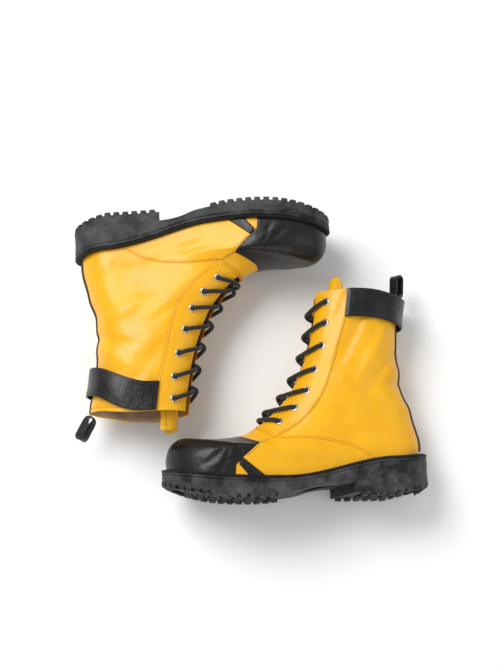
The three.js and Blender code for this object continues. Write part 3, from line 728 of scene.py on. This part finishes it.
# ---- Linings ----
# A tan woven lining is bagged into each shaft and glued down to the board. Its top edge is turned
# under the leather at the collar, and it wrinkles where the shaft is soft.
LINING_DEPTH = 3.1
LINING_FRONT = 0.42
for boot in boots:
    round_shaft = np.linspace(LINING_FRONT, 2 * math.pi - LINING_FRONT, 120)
    h, turn = np.meshgrid(np.linspace(0.1, 0.995, 60), round_shaft, indexing="ij")
    wrinkle = 0.5 * np.sin(turn * 9 + 14 * h) * smooth(0.6, 1, h) + 0.3 * np.sin(turn * 23 - 9 * h)
    depth = boot.crease(h, turn) - LINING_DEPTH + 0.6 * wrinkle
    lining = laid_sheet(boot.body("lining"), boot.place(boot.skin(h, turn, depth)))
    apply_modifier(lining, "SOLIDIFY", thickness=0.0004, offset=0)
    fitted(lining, boot.body(), lining_cloth, "lining_fabric")

# ---- Uppers ----
# Each upper is cut from twelve leather panels, skived at their edges, lapped and lockstitched: two
# quarters below, the wings, windows and top of the vamp over them, then the eyelet facings, and at
# the front a creased black toe cap with a slanting black band on each side.
PANEL_THICK = 1.5
EDGE_WIDTH = 1.2
LAP = 4.0
WINDOW_LAP = 2.4
SIDES = (("outer", 1), ("inner", -1))
THROAT_HALF = 10.6
LIFTS = {"quarter": 0, "vamp_top": 0.1, "window": 0.3, "wing": 0.9, "toe_cap": 0.9, "facing": 1.0,
         "band": 1.7}


def leather_finish(name, shade, body, glow, roughness, grain, gloss):
    """Full-grain leather: fine pores, soft creases, darker along cut edges and seams."""
    hide = Finish(name, specular_ior_level=gloss, coat_roughness=0.16)
    cloudy = hide.stretch(hide.noise(22, 3, 0.55), 0.34, 0.68)
    pores = hide.noise(1300, 3, 0.6)
    wrinkles = hide.node("ShaderNodeTexVoronoi", {"feature": "DISTANCE_TO_EDGE"},
                         {"Vector": hide.noise(60, 3, 0.5), "Scale": 9})
    seam = hide.attribute("seam")
    edge = hide.stretch(seam, 1.4, 0.0)
    tone = hide.blend(cloudy, body, glow)
    tone = hide.blend(edge * 0.6, tone, shade)
    tone = hide.blend(hide.stretch(pores, 0.62, 0.8) * 0.25, tone, shade)
    hide.drive(base_color=tone, roughness=roughness + 0.14 * cloudy + 0.18 * edge,
               coat_weight=gloss * (0.7 - 0.4 * cloudy))
    skin = hide.bump(pores, 0.00006 * grain)
    folds = hide.bump(hide.stretch(wrinkles, 0, 0.12), 0.00004 * grain, skin)
    hide.drive(normal=hide.bump(hide.noise(90, 4, 0.6), 0.0006 * grain, folds))
    return hide.material


yellow_leather = leather_finish(
    "yellow_leather", (0.6, 0.24, 0.004, 1), (0.8, 0.385, 0.004, 1), (0.87, 0.45, 0.008, 1),
    roughness=0.33, grain=1.0, gloss=0.28)
black_leather = leather_finish(
    "black_leather", (0.003, 0.003, 0.003, 1), (0.005, 0.005, 0.006, 1), (0.011, 0.011, 0.012, 1),
    roughness=0.27, grain=1.2, gloss=0.26)
leathers = {"yellow_leather": yellow_leather, "black_leather": black_leather}


def thread_finish(name, tone):
    """Twisted sewing thread."""
    thread = Finish(name, roughness=0.7)
    twist = thread.noise(900, 2)
    darker = tuple(0.6 * part for part in tone[:3]) + (1,)
    thread.drive(base_color=thread.blend(twist, darker, tone), normal=thread.bump(twist, 0.0001))
    return thread.material


yellow_thread = thread_finish("yellow_thread", (0.58, 0.26, 0.012, 1))
black_thread = thread_finish("black_thread", (0.045, 0.045, 0.05, 1))


def drawn(points, count=60):
    """A pattern line through its points, as drawn with a flexible ruler."""
    return smooth_line(points)(np.linspace(0, 1, count))


def inside_distance(x, height, outline):
    """Distance inside a closed pattern outline, negative outside it."""
    start = np.asarray(outline, float)
    end = np.roll(start, -1, axis=0)
    run = end - start
    px, pz = x.reshape(-1, 1), height.reshape(-1, 1)
    t = (px - start[:, 0]) * run[:, 0] + (pz - start[:, 1]) * run[:, 1]
    t = np.clip(t / np.maximum((run**2).sum(axis=1), 1e-12), 0, 1)
    away = np.hypot(px - start[:, 0] - t * run[:, 0], pz - start[:, 1] - t * run[:, 1]).min(axis=1)
    spans = (start[:, 1] > pz) != (end[:, 1] > pz)
    rise = np.where(np.abs(run[:, 1]) < 1e-12, 1e-12, run[:, 1])
    inside = (spans & (px < start[:, 0] + (pz - start[:, 1]) / rise * run[:, 0])).sum(axis=1) % 2 == 1
    return np.where(inside, away, -away).reshape(x.shape)


FACING_SEAM = drawn([(88, 206), (92.5, 167), (101.5, 139), (113, 106), (126.5, 80.5), (148.5, 60),
                     (181, 42.5)])
SIDE_SEAM = drawn([(181, 42.5), (149, 42), (121, 34.5), (89, 19.5), (66, 1)])
FACING_END = np.array([(181, 42.5), (201, 56.5), (212, 66)])
CAP_EDGE = np.array([(220, 62), (220, 46), (197.5, 37), (218, 19), (225.5, 11), (227.5, -10)])
BAND = np.array([(218, 19), (222.7, 12.2), (213, 1.5), (213, -10), (193, -12), (193, 0)])
OUTLINES = {
    "quarter": np.concatenate([FACING_SEAM, SIDE_SEAM[1:], [(60, -12), (-30, -12), (-60, 230),
                                                            (88, 230)]]),
    "vamp_top": np.array([(181, 42.5), (197.5, 37), (220, 46), (220, 62), (212, 66), (201, 56.5)]),
    "wing": np.concatenate([SIDE_SEAM, [(60, -12), (189, -12), (193, 0), (218, 19), (197.5, 37)]]),
    "facing": np.concatenate([FACING_SEAM, FACING_END[1:], [(260, 70), (260, 230), (88, 230)]]),
    "toe_cap": np.concatenate([CAP_EDGE, [(330, -10), (330, 90), (220, 90)]]),
    "band": BAND,
    "window": np.array([(222.7, 12.2), (225.5, 11), (227.5, -10), (213, -10), (213, 1.5)]),
}


def cut_for(boot, points):
    """Pattern points with the top of the facing seam where this boot's softer shaft carries it."""
    points = np.array(points, float)
    points[:, 0] += boot.seam_shift * smooth(60, 190, points[:, 1]) * (points[:, 0] < 130)
    return points


def collar_distance(h):
    return (1 - h) / SLICES_PER_MM


def turned_outwards(piece, boot, h, turn):
    """The sheet's faces turned away from the last, judged at its first face."""
    corner = piece.data.polygons[0].vertices[0]
    away = boot.place(boot.skin(h, turn, 5)) - boot.place(boot.skin(h, turn, 0))
    if piece.data.polygons[0].normal.dot(Vector(away.reshape(-1, 3)[corner])) < 0:
        piece.data.flip_normals()
    piece.data.update()


def seam_marks(piece, values):
    """Each corner's distance from a cut edge, which the leather darkens by."""
    marks = piece.data.attributes.new("seam", "FLOAT", "POINT")
    marks.data.foreach_set("value", np.ravel(values).astype(np.float32))


def panel(boot, part, name, heights, turns, lap, slot, *nodes, throat=None, collar=False):
    """A leather panel, cut along its outline with a lap under its neighbours, and laid on the last."""
    outline = cut_for(boot, OUTLINES[part])

    def cut_edge(h, turn):
        away = inside_distance(*pattern_of(h, turn), outline)
        if throat:
            away = np.minimum(away, np.abs(boot.slice_point(h, turn)[..., 1]) - throat)
        return away

    h, turn = np.meshgrid(np.linspace(*heights), np.linspace(*turns), indexing="ij")
    distance = cut_edge(h, turn)
    if collar:
        distance = np.minimum(distance, collar_distance(h) - lap)
    sheet = laid_sheet(name, np.stack([h, turn, 0 * h], axis=-1))
    work = bmesh.new()
    work.from_mesh(sheet.data)
    reach = work.verts.layers.float.new("reach")
    levels = [-lap, -lap + 0.4, -lap + EDGE_WIDTH]
    for vertex, value in zip(work.verts, distance.ravel()):
        near = min(levels, key=lambda level: abs(level - value))
        vertex[reach] = near if abs(near - value) < 0.03 else value
    for level in levels:
        cut = [v for v in work.verts if abs(v[reach] - level) < 1e-6]
        for edge in list(work.edges):
            a, b = edge.verts
            if (a[reach] - level) * (b[reach] - level) < -1e-12:
                fresh = bmesh.utils.edge_split(edge, a, (level - a[reach]) / (b[reach] - a[reach]))[1]
                fresh[reach] = level
                cut.append(fresh)
        bmesh.ops.connect_verts(work, verts=cut)
    bmesh.ops.delete(work, geom=[v for v in work.verts if v[reach] < -lap - 1e-6], context="VERTS")
    bmesh.ops.delete(work, geom=[v for v in work.verts if not v.link_faces], context="VERTS")
    flat = np.array([(v.co.x, v.co.y, v[reach]) for v in work.verts])
    work.to_mesh(sheet.data)
    work.free()
    h, turn, away = flat.T
    rounded = 0.7 * (quarter_round((away + lap) / EDGE_WIDTH) - 1)
    moved(sheet, boot.place(boot.leather(h, turn, LIFTS[part] + rounded)))
    seam_marks(sheet, np.minimum(cut_edge(h, turn), collar_distance(h) + 0.6))
    turned_outwards(sheet, boot, h, turn)
    apply_modifier(sheet, "SOLIDIFY", thickness=PANEL_THICK / 1000, offset=-1)
    return fitted(sheet, boot.body(), leathers[slot], slot, *nodes, sharp=60)


for boot in boots:
    panel(boot, "vamp_top", boot.body("vamp_top"), (0.33, 0.62, 40), (-1.15, 1.15, 90), LAP,
          "yellow_leather", boot.body("vamp"))
    panel(boot, "toe_cap", boot.body("toe_cap_leather"), (0, 0.56, 100), (-1.75, 1.75, 190), 0,
          "black_leather", boot.body("toe_cap"))
    for label, side in SIDES:
        panel(boot, "quarter", boot.body(f"quarter_{label}_leather"), (0, 1, 150),
              (side * 0.35, side * (math.pi + 0.01), 110), LAP, "yellow_leather",
              boot.body(f"quarter_{label}"), collar=True)
        panel(boot, "wing", boot.body(f"wing_{label}"), (0, 0.48, 76), (side * 0.6, side * 2.75, 150),
              0, "yellow_leather")
        panel(boot, "facing", boot.body(f"facing_{label}_leather"), (0.36, 1, 130),
              (side * 0.1, side * 1.5, 64), 0, "yellow_leather", boot.body(f"facing_{label}"),
              throat=THROAT_HALF, collar=True)
        panel(boot, "window", boot.body(f"window_{label}"), (0, 0.2, 26),
              (side * 0.95, side * 1.3, 30), WINDOW_LAP, "yellow_leather")
        panel(boot, "band", boot.body(f"band_{label}"), (0, 0.3, 46), (side * 0.95, side * 1.5, 60),
              0, "black_leather")

# ---- Upper stitching ----
# Every lapped seam is sewn through with a lockstitch a little inside the edge, in thread of the
# leather's own colour. The ends of the facings and the black bands carry two rows.
SEAM_STITCH = 3.0
THREAD_LIFT = 0.05
seam_stitch = stitch_template(2.3, 0.34)


def sewn(surface, first, second, lift):
    """Stitches along a line, on a surface that two places and a lift give the points of."""
    line = surface(first, second, lift)
    return stitch_places(line, surface(first, second, lift + 1) - line, SEAM_STITCH)


def seam_places(boot, part, side, line, inset):
    """Stitches beside a pattern line, on its left as it is drawn, on one side of the boot."""
    line = drawn(line, 120) if len(line) < 20 else np.asarray(line, float)
    run = np.gradient(line, axis=0)
    run /= np.maximum(np.linalg.norm(run, axis=1, keepdims=True), 1e-9)
    line = line + inset * np.stack([-run[:, 1], run[:, 0]], axis=-1)
    h, turn = locate(line[:, 0], line[:, 1])
    return sewn(boot.leather, h, side * turn, LIFTS[part] + THREAD_LIFT)


def straight(a, b):
    return np.linspace(a, b, 30)


YELLOW_SEAMS = [
    ("facing", straight((182.5, 43.5), (200, 56)), 1.7),
    ("facing", straight((182.5, 43.5), (200, 56)), 4.0),
    ("wing", SIDE_SEAM[3:-3], 1.9), ("wing", straight((197.5, 37), (184, 41.7)), 1.6)]
BLACK_SEAMS = [
    ("toe_cap", straight((199, 35.2), (216.5, 21)), -2.0),
    ("toe_cap", straight((198.8, 37.6), (218.5, 45.5)), -2.2),
    ("band", straight((217.5, 17.7), (194, 0)), 1.6), ("band", straight((217.5, 17.7), (194, 0)), 3.4)]
COLLAR_ROW = 6.5
for boot in boots:
    for label, side in SIDES:
        yellow_rows = seam_places(boot, "facing", side, cut_for(boot, FACING_SEAM[3:-2]), 2.0)
        for part, line, inset in YELLOW_SEAMS:
            yellow_rows += seam_places(boot, part, side, line, inset)
        h = np.full(40, 1 - COLLAR_ROW * SLICES_PER_MM)
        yellow_rows += sewn(boot.leather, h, side * np.linspace(1.4, math.pi - 0.25, 40), THREAD_LIFT)
        black_rows = []
        for part, line, inset in BLACK_SEAMS:
            black_rows += seam_places(boot, part, side, line, inset)
        stitched(boot, boot.body(f"seam_stitches_{label}"), seam_stitch, yellow_rows, yellow_thread,
                 "yellow_leather")
        stitched(boot, boot.body(f"cap_stitches_{label}"), seam_stitch, black_rows, black_thread,
                 "black_leather")

# ---- Back strips ----
# A narrow strip of black leather covers the seam where the two quarters meet, from the welt to
# the collar. It is sewn down along both its edges.
STRIP_HALF = 7
STRIP_LIFT = 1.7
STRIP_THICK = 1.1
BACK_RADIUS = 38
for boot in boots:
    h, across = np.meshgrid(np.linspace(0.075, 0.999, 140), np.linspace(-1, 1, 13), indexing="ij")
    turn = math.pi + across * math.asin(STRIP_HALF / BACK_RADIUS)
    edge = (1 - np.abs(across)) * STRIP_HALF
    lift = STRIP_LIFT - 1.2 * (1 - quarter_round(edge / 1.6))
    strip = laid_sheet(boot.body("back_strip"), boot.place(boot.leather(h, turn, lift)))
    seam_marks(strip, edge)
    turned_outwards(strip, boot, h, turn)
    apply_modifier(strip, "SOLIDIFY", thickness=STRIP_THICK / 1000, offset=-1)
    fitted(strip, boot.body(), black_leather, "black_leather", boot.body("backstay"), sharp=60)
    rows = []
    for inset in (-3.4, 3.4):
        turn = np.full(160, math.pi + math.asin(inset / BACK_RADIUS))
        rows += sewn(boot.leather, np.linspace(0.1, 0.98, 160), turn, STRIP_LIFT + 0.02)
    stitched(boot, boot.body("back_strip_stitches"), seam_stitch, rows, black_thread, "black_leather")

# ---- Eyelets ----
# Seven nickel-plated brass eyelets are set up each facing: a rolled flange outside, and a barrel
# that passes through the leather and is spread on the inside.
EYELET_PLACES = [(174, 61), (156, 76), (141, 93), (131, 115), (121.5, 140), (116, 165), (114, 189)]
EYELET_PROFILE = [
    (2.8, -3.3), (2.8, 0.9), (3.0, 1.6), (3.5, 2.05), (4.1, 2.0), (4.7, 1.6), (5.0, 1.05), (4.6, 0.8),
    (3.5, 0.8), (3.4, -2.8), (4.1, -3.2), (3.9, -3.6), (3.1, -3.6), (2.8, -3.3)]
nickel_finish = Finish("polished_nickel", metallic=1.0)
scuffs = nickel_finish.noise(420, 4, 0.6)
nickel_finish.drive(
    base_color=nickel_finish.blend(scuffs, (0.42, 0.38, 0.32, 1), (0.78, 0.74, 0.66, 1)),
    roughness=0.14 + 0.24 * scuffs, normal=nickel_finish.bump(scuffs, 0.00006))
slice_of, turn_of = locate([x for x, _ in EYELET_PLACES], [z for _, z in EYELET_PLACES])


def lathed(name, profile, count, place):
    """A profile of radii and heights spun round an axis, stood at a place in the frame."""
    turns = np.linspace(0, 2 * math.pi, count + 1)
    profile = np.array(profile, float)
    points = np.stack([profile[:, :1] * np.cos(turns), profile[:, :1] * np.sin(turns),
                       np.repeat(profile[:, 1:], count + 1, axis=1)], axis=-1)
    piece = laid_sheet(name, place(points))
    close_up(piece)
    return piece


for boot in boots:
    for label, side in SIDES:
        for number, (h, turn) in enumerate(zip(slice_of, turn_of), 1):
            mouth = boot.leather(h, side * turn)
            up = boot.leather(h, side * turn, 1) - mouth
            along = np.cross(up, (0, 1, 0))
            along /= np.linalg.norm(along)
            axes = np.array([along, np.cross(up, along), up])
            node = boot.body(f"eyelet_{label}_{number}")
            eyelet = lathed(node + "_ring", EYELET_PROFILE, 28, lambda p: boot.place(mouth + p @ axes))
            fitted(eyelet, boot.body(), nickel_finish.material, "eyelet_nickel", node, sharp=60)

# ---- Laces ----
# One braided black cord laces each boot: a bar over the lowest eyelets, crossed strands over the
# edge of one facing and under the other, and both ends tucked inside at the top.
LACE_RADIUS = 2.45
LACE_OVER = 4.2
LACE_UNDER = -6.6
LACE_SIDES = 12
lace_finish = Finish("braided_lace", roughness=0.82, sheen_weight=0.15, specular_ior_level=0.3)
along_cord = lace_finish.node("ShaderNodeUVMap", {"uv_map": "UVMap"}, {})
plaits = [lace_finish.node("ShaderNodeTexWave", {"bands_direction": "DIAGONAL"}, {
    "Vector": lace_finish.node("ShaderNodeMapping", {}, {"Vector": along_cord, "Scale": (way, 1, 0)}),
    "Scale": 1.0}) for way in (1, -1)]
plait = lace_finish.node("ShaderNodeMath", {"operation": "MAXIMUM"}, {0: plaits[0], 1: plaits[1]})
fuzz = lace_finish.noise(1600, 2)
lace_finish.drive(
    base_color=lace_finish.blend(plait * 0.7 + fuzz * 0.3, (0.003, 0.003, 0.003, 1),
                                 (0.028, 0.026, 0.025, 1)),
    normal=lace_finish.bump(plait, 0.00035, lace_finish.bump(fuzz, 0.0001)))


def lace_route(boot):
    """Points along the cord, from one tucked end to the other."""
    crossing = {1: LACE_OVER + 2.2, -1: LACE_OVER - 2.6}

    def in_bore(row, side):
        return [boot.leather(slice_of[row], side * turn_of[row], lift)
                for lift in (LACE_UNDER, -1.2, LACE_OVER - 1.3)]

    def strand(row, side):
        def along(k, lift):
            return boot.leather(lerp(slice_of[row], slice_of[row - 1], k),
                                lerp(side * turn_of[row], -side * turn_of[row - 1], k), lift)
        return [*in_bore(row, side), along(0.12, LACE_OVER + 0.2), along(0.32, LACE_OVER + 0.9),
                along(0.5, crossing[side]), along(0.66, LACE_UNDER + 2.2), along(0.86, LACE_UNDER)]

    def half_lace(top_side):
        top = len(slice_of) - 1
        points = [boot.leather(slice_of[top], top_side * (turn_of[top] + k), LACE_UNDER)
                  for k in (0.8, 0.55, 0.3)]
        side = top_side
        for row in range(top, 0, -1):
            points += strand(row, side)
            side = -side
        bar = [boot.leather(slice_of[0], side * turn_of[0] * k, LACE_OVER) for k in (0.84, 0.4)]
        return points + in_bore(0, side) + bar
    middle = boot.leather(slice_of[0], 0, LACE_OVER + 0.6)
    return np.array([*half_lace(1), middle, *half_lace(-1)[::-1]])


def even_steps(points, step):
    """The same line through points one step apart, with its corners eased."""
    dense = smooth_line(points)(np.linspace(0, 1, 8 * len(points)))
    run = np.r_[0, np.cumsum(np.linalg.norm(np.diff(dense, axis=0), axis=1))]
    at = np.linspace(0, run[-1], int(run[-1] / step))
    line = np.stack([np.interp(at, run, dense[:, k]) for k in range(3)], axis=-1)
    for _ in range(2):
        line[1:-1] = (line[:-2] + 2 * line[1:-1] + line[2:]) / 4
    return line, run[-1]


def carried_frames(line):
    """Tangent, and two directions across it that turn as little as possible along a line."""
    tangent = np.gradient(line, axis=0)
    tangent /= np.linalg.norm(tangent, axis=1, keepdims=True)
    first = np.cross(tangent[0], (0.3, 0.4, 0.86))
    across = [first / np.linalg.norm(first)]
    for t in tangent[1:]:
        leaning = across[-1] - t * (across[-1] @ t)
        across.append(leaning / np.linalg.norm(leaning))
    across = np.array(across)
    return tangent, across, np.cross(tangent, across)


for boot in boots:
    line, lace_length = even_steps(lace_route(boot), 1.3)
    tangent, across, up = carried_frames(line)
    turns = np.linspace(0, 2 * math.pi, LACE_SIDES + 1)
    radius = np.full(len(line), LACE_RADIUS)
    radius[[0, -1]] = 0.02
    radius[[1, -2]] = 0.8 * LACE_RADIUS
    tube = line[:, None] + radius[:, None, None] * (
        np.cos(turns)[None, :, None] * across[:, None] + np.sin(turns)[None, :, None] * up[:, None])
    lace = laid_sheet(boot.body("lace_cord"), boot.place(tube))
    for corner in lace.data.uv_layers["UVMap"].data:
        corner.uv = (corner.uv[0] * 2, corner.uv[1] * lace_length / 9)
    close_up(lace)
    fitted(lace, boot.body(), lace_finish.material, "lace", boot.body("lace"))

# ---- Tongues ----
# Each tongue is a padded leaf of yellow leather, its edges turned and sewn. It is sewn in at the
# vamp, lies behind the lacing, and its top stands out above the collar.
TONGUE_THICK = 4.0
LACE_ROOM = 7
TONGUE_HALF = 19
TONGUE_RISE = 22
TONGUE_BACK = {"left": 5, "right": 1.5}
ACROSS = 25


def turn_for_half(boot, h, half, lift):
    low, high = 0.0, math.pi / 2
    for _ in range(22):
        mid = (low + high) / 2
        if boot.skin(h, mid, lift)[1] < half:
            low = mid
        else:
            high = mid
    return low


for boot in boots:
    back = TONGUE_BACK[boot.side]
    share = np.linspace(-1, 1, ACROSS)
    bulge = (1 - np.abs(share) ** 5) ** 0.5
    rolled = np.exp(-((np.abs(share) - 0.9) / 0.07) ** 2)
    rows = []
    for h in np.linspace(0.5, 1, 46):
        gap = -WALL - LACE_ROOM - back * float(smooth(0.5, 1, h)) - TONGUE_THICK / 2
        edge = turn_for_half(boot, h, TONGUE_HALF - 1.2, gap)
        middle = boot.skin(h, share * edge, gap)
        normal = boot.skin(h, share * edge, gap + 1) - middle
        rows.append((middle, normal, 1.0))
    collar_line, collar_normal, _ = rows[-1]
    for rise in np.linspace(0.08, 1, 13):
        middle = collar_line + np.array([-back * rise ** 1.5, 0, TONGUE_RISE * rise])
        flatter = 1 - 0.55 * rise if boot.side == "left" else 1
        middle[:, 0] = lerp(middle[ACROSS // 2, 0], middle[:, 0], flatter)
        middle = middle * [1, flatter, 1] - [0, 0, 1.5 * rise**6] * (np.abs(share) ** 4)[:, None]
        rows.append((middle, collar_normal, 1.0 if rise < 0.95 else 0.75))
    rings = []
    for middle, normal, full in [(rows[0][0], rows[0][1], 0), *rows, (rows[-1][0], rows[-1][1], 0)]:
        half = (TONGUE_THICK / 2 * full * (0.82 * bulge + 0.24 * rolled))[:, None]
        face, back_face = middle + normal * half, (middle - normal * half)[::-1]
        rings.append(np.concatenate([face, back_face, face[:1]]))
    rings = np.array(rings)
    tongue = laid_sheet(boot.body("tongue_leaf"), boot.place(rings))
    marks = np.full(rings.shape[:2], 6.0)
    marks[:, :2 * ACROSS] = np.minimum(6, (1 - np.abs(np.concatenate([share, share[::-1]]))) * 17)
    seam_marks(tongue, marks)
    close_up(tongue)
    fitted(tongue, boot.body("tongue"), yellow_leather, "yellow_leather", boot.body("tongue"), sharp=60)
    rows_of_stitches = []
    for column in (2, ACROSS - 3):
        line = np.array([(middle + normal * 0.96 * TONGUE_THICK / 2)[column]
                         for middle, normal, _ in rows[4:-2]])
        up = np.array([normal[column] for _, normal, _ in rows[4:-2]])
        rows_of_stitches += stitch_places(line, up, SEAM_STITCH)
    stitched(boot, boot.body("tongue_stitches"), seam_stitch, rows_of_stitches, yellow_thread,
             "yellow_leather", boot.body("tongue"))

# ---- Collar straps ----
# A wide strap of doubled black leather is sewn to the quarters at its two front ends and passes
# loosely round the back of the collar. A row of stitches runs along each edge and across its ends.
STRAP_HEIGHT = 32
STRAP_THICK = 2.6
STRAP_END = {"left": 1.27, "right": 1.12}
STRAP_DROOP = {"left": 0, "right": 19}
STRAP_SLACK = {"left": 5, "right": 6}
STRAP_ROW = 0.975
COLLAR_RADIUS = 42


def strap_surface(boot, up, across, lift):
    """Points on the strap: up it from 0 to 1, and round it from -1 to 1 through the back."""
    up, across = np.broadcast_arrays(np.asarray(up, float), np.asarray(across, float))
    turn = math.pi + across * (math.pi - STRAP_END[boot.side])
    to_back = smooth(-0.25, 1, -np.cos(turn))
    below = STRAP_HEIGHT * (1 - up) + STRAP_DROOP[boot.side] * to_back + 0.3
    away = lerp(2, STRAP_SLACK[boot.side], to_back)
    soft = (0.35 * np.sin(across * 11 + up * 3)
            + 0.5 * np.sin(across * 5 - 2 * up) * np.sin(up * math.pi))
    end = 0.9 * smooth(0.96, 1, np.abs(across))
    return boot.skin(1 - below * SLICES_PER_MM, turn, lift + away + soft * (1 - end) - end)


for boot in boots:
    up, across = np.meshgrid(np.linspace(0, 1, 24), np.linspace(-1, 1, 190), indexing="ij")
    strap = laid_sheet(boot.body("collar_strap"),
                       boot.place(strap_surface(boot, up, across, STRAP_THICK)))
    half_round = math.pi - STRAP_END[boot.side]
    seam_marks(strap, np.minimum(np.minimum(up, 1 - up) * STRAP_HEIGHT,
                                 (1 - np.abs(across)) * half_round * COLLAR_RADIUS))
    turn = math.pi + across * half_round
    turned_outwards(strap, boot, np.full_like(turn, 0.9), turn)
    apply_modifier(strap, "SOLIDIFY", thickness=STRAP_THICK / 1000, offset=-1)
    apply_modifier(strap, "BEVEL", width=0.0006, segments=2, limit_method="ANGLE",
                   angle_limit=math.radians(60))
    fitted(strap, boot.body("strap"), black_leather, "black_leather", boot.body("strap"), sharp=50)

    def outside(up, across, lift):
        return strap_surface(boot, up, across, STRAP_THICK + lift)
    places = []
    for level in (0.1, 0.9):
        places += sewn(outside, level, np.linspace(-STRAP_ROW, STRAP_ROW, 300), THREAD_LIFT)
    for end in (-STRAP_ROW, STRAP_ROW):
        places += sewn(outside, np.linspace(0.12, 0.88, 40), end, THREAD_LIFT)
    stitched(boot, boot.body("strap_stitches"), seam_stitch, places, black_thread, "black_leather",
             boot.body("strap"))

# ---- Pull loops ----
# A strip of black leather is folded into a loop and its ends are sewn into the collar at the back
# seam, for a finger to pull the boot on. Its inner face is the leather's bluish-grey flesh side.
LOOP_LENGTH = 31
LOOP_OPENING = 8
LOOP_STRIP = 1.7
LOOP_WIDTH = 12
LOOP_LEAN = {"left": 4, "right": 30}
LOOP_TWIST = {"left": math.radians(38), "right": math.radians(-24)}
flesh_side = Finish("flesh_side", roughness=0.7, sheen_weight=0.25)
nap = flesh_side.noise(700, 4, 0.65)
flesh_side.drive(base_color=flesh_side.blend(nap, (0.02, 0.024, 0.034, 1), (0.1, 0.115, 0.15, 1)),
                 normal=flesh_side.bump(nap, 0.00015))
for boot in boots:
    rim = boot.skin(1, math.pi, -WALL / 2)
    lean = math.radians(LOOP_LEAN[boot.side])
    foot = rim + [0, 0, 1.3 + 1.5 * math.sin(lean)]
    half = LOOP_OPENING / 2 + LOOP_STRIP / 2
    straight_run = LOOP_LENGTH - 2 * half - LOOP_STRIP
    path = [(half * math.cos(a), half + half * math.sin(a)) for a in np.linspace(-math.pi / 2, 0, 9)]
    path += [(half, half + straight_run * k) for k in np.linspace(0.1, 1, 9)]
    path += [(half * math.cos(a), half + straight_run + half * math.sin(a))
             for a in np.linspace(0.2, math.pi, 15)]
    path += [(-half, half + straight_run * k) for k in np.linspace(0.9, 0, 9)]
    path += [(-half * math.cos(a), half - half * math.sin(a)) for a in np.linspace(0.2, math.pi / 2, 8)]
    path = np.array(path) + [0, LOOP_STRIP / 2]
    out = np.gradient(path, axis=0)
    out = np.stack([out[:, 1], -out[:, 0]], axis=-1)
    out /= np.linalg.norm(out, axis=1, keepdims=True)
    cup = 0.5 * np.sin(np.linspace(0, math.pi, len(path)))[:, None]
    section = [(-1, -0.4), (-0.97, -0.8), (-0.9, -1), (0, -1), (0.9, -1), (0.97, -0.8), (1, -0.4),
               (1, 0.4), (0.97, 0.8), (0.9, 1), (0, 1), (-0.9, 1), (-0.97, 0.8), (-1, 0.4), (-1, -0.4)]
    rings = []
    for side, thick in section:
        offset = LOOP_STRIP / 2 * thick + cup * (side**2 - 0.5)
        plane = path + out * offset
        twist = LOOP_TWIST[boot.side] * smooth(0, 12, plane[:, 1])
        fore = plane[:, 0] * np.cos(twist) - side * LOOP_WIDTH / 2 * np.sin(twist)
        aside = plane[:, 0] * np.sin(twist) + side * LOOP_WIDTH / 2 * np.cos(twist)
        turned = np.column_stack([fore * math.cos(lean) - plane[:, 1] * math.sin(lean), aside,
                                  fore * math.sin(lean) + plane[:, 1] * math.cos(lean)])
        rings.append(foot + turned)
    rings = np.array(rings)
    rings = np.concatenate([rings, rings[:, :1]], axis=1)
    loop = laid_sheet(boot.body("pull_strip"), boot.place(rings))
    from_edge = [(1 - abs(side)) * LOOP_WIDTH / 2 for side, _ in section]
    seam_marks(loop, np.repeat(from_edge, rings.shape[1]))
    close_up(loop)
    fitted(loop, boot.body("pull_loop"), black_leather, "black_leather", boot.body("pull_loop"),
           sharp=45)
    loop.data.materials.append(flesh_side.material)
    rising = np.array([-math.sin(lean), 0, math.cos(lean)])
    centre = Vector(boot.place(foot + LOOP_LENGTH / 2 * rising))
    up = Vector(boot.place(foot + rising)) - Vector(boot.place(foot))
    for face in loop.data.polygons:
        away = face.center - centre
        away -= up * (away.dot(up) / up.length_squared) * (abs(away.dot(up) / up.length) < 0.011)
        sideways = abs(face.normal.dot(Vector(boot.basis[1])))
        if face.normal.dot(away) < 0 and sideways < 0.5:
            face.material_index = 1

# ---- Floor and light ----
# The pair lies on a plain pale studio sheet, under one broad soft light from the upper left and a
# weaker one from the right.
clear_selection()
bpy.ops.mesh.primitive_plane_add(size=8)
floor = bpy.context.object
floor.name = floor.data.name = "floor"
paper = Finish("studio_paper", roughness=0.9, specular_ior_level=0.1)
mottle = paper.noise(3, 2)
paper.drive(base_color=paper.blend(mottle, (0.93, 0.93, 0.925, 1), (0.95, 0.95, 0.945, 1)))
floor.data.materials.append(paper.material)
for name, place, size, power in [("key", (-0.85, 0.7, 1.5), 1.0, 28), ("fill", (1.3, -0.3, 1.1), 1.2, 4),
                                 ("low", (0.2, -1.5, 0.7), 1.2, 5)]:
    lamp_data = bpy.data.lights.new(name, "AREA")
    lamp_data.size, lamp_data.energy = size, power
    lamp = bpy.data.objects.new(name, lamp_data)
    bpy.context.scene.collection.objects.link(lamp)
    lamp.location = place
    lamp.rotation_euler = (Vector((0, 0, 0.04)) - lamp.location).to_track_quat("-Z", "Y").to_euler()
room = bpy.data.worlds.new("room")
bpy.context.scene.world = room
room.use_nodes = True
room.node_tree.nodes["Background"].inputs["Color"].default_value = (1, 1, 1, 1)
room.node_tree.nodes["Background"].inputs["Strength"].default_value = 0.5
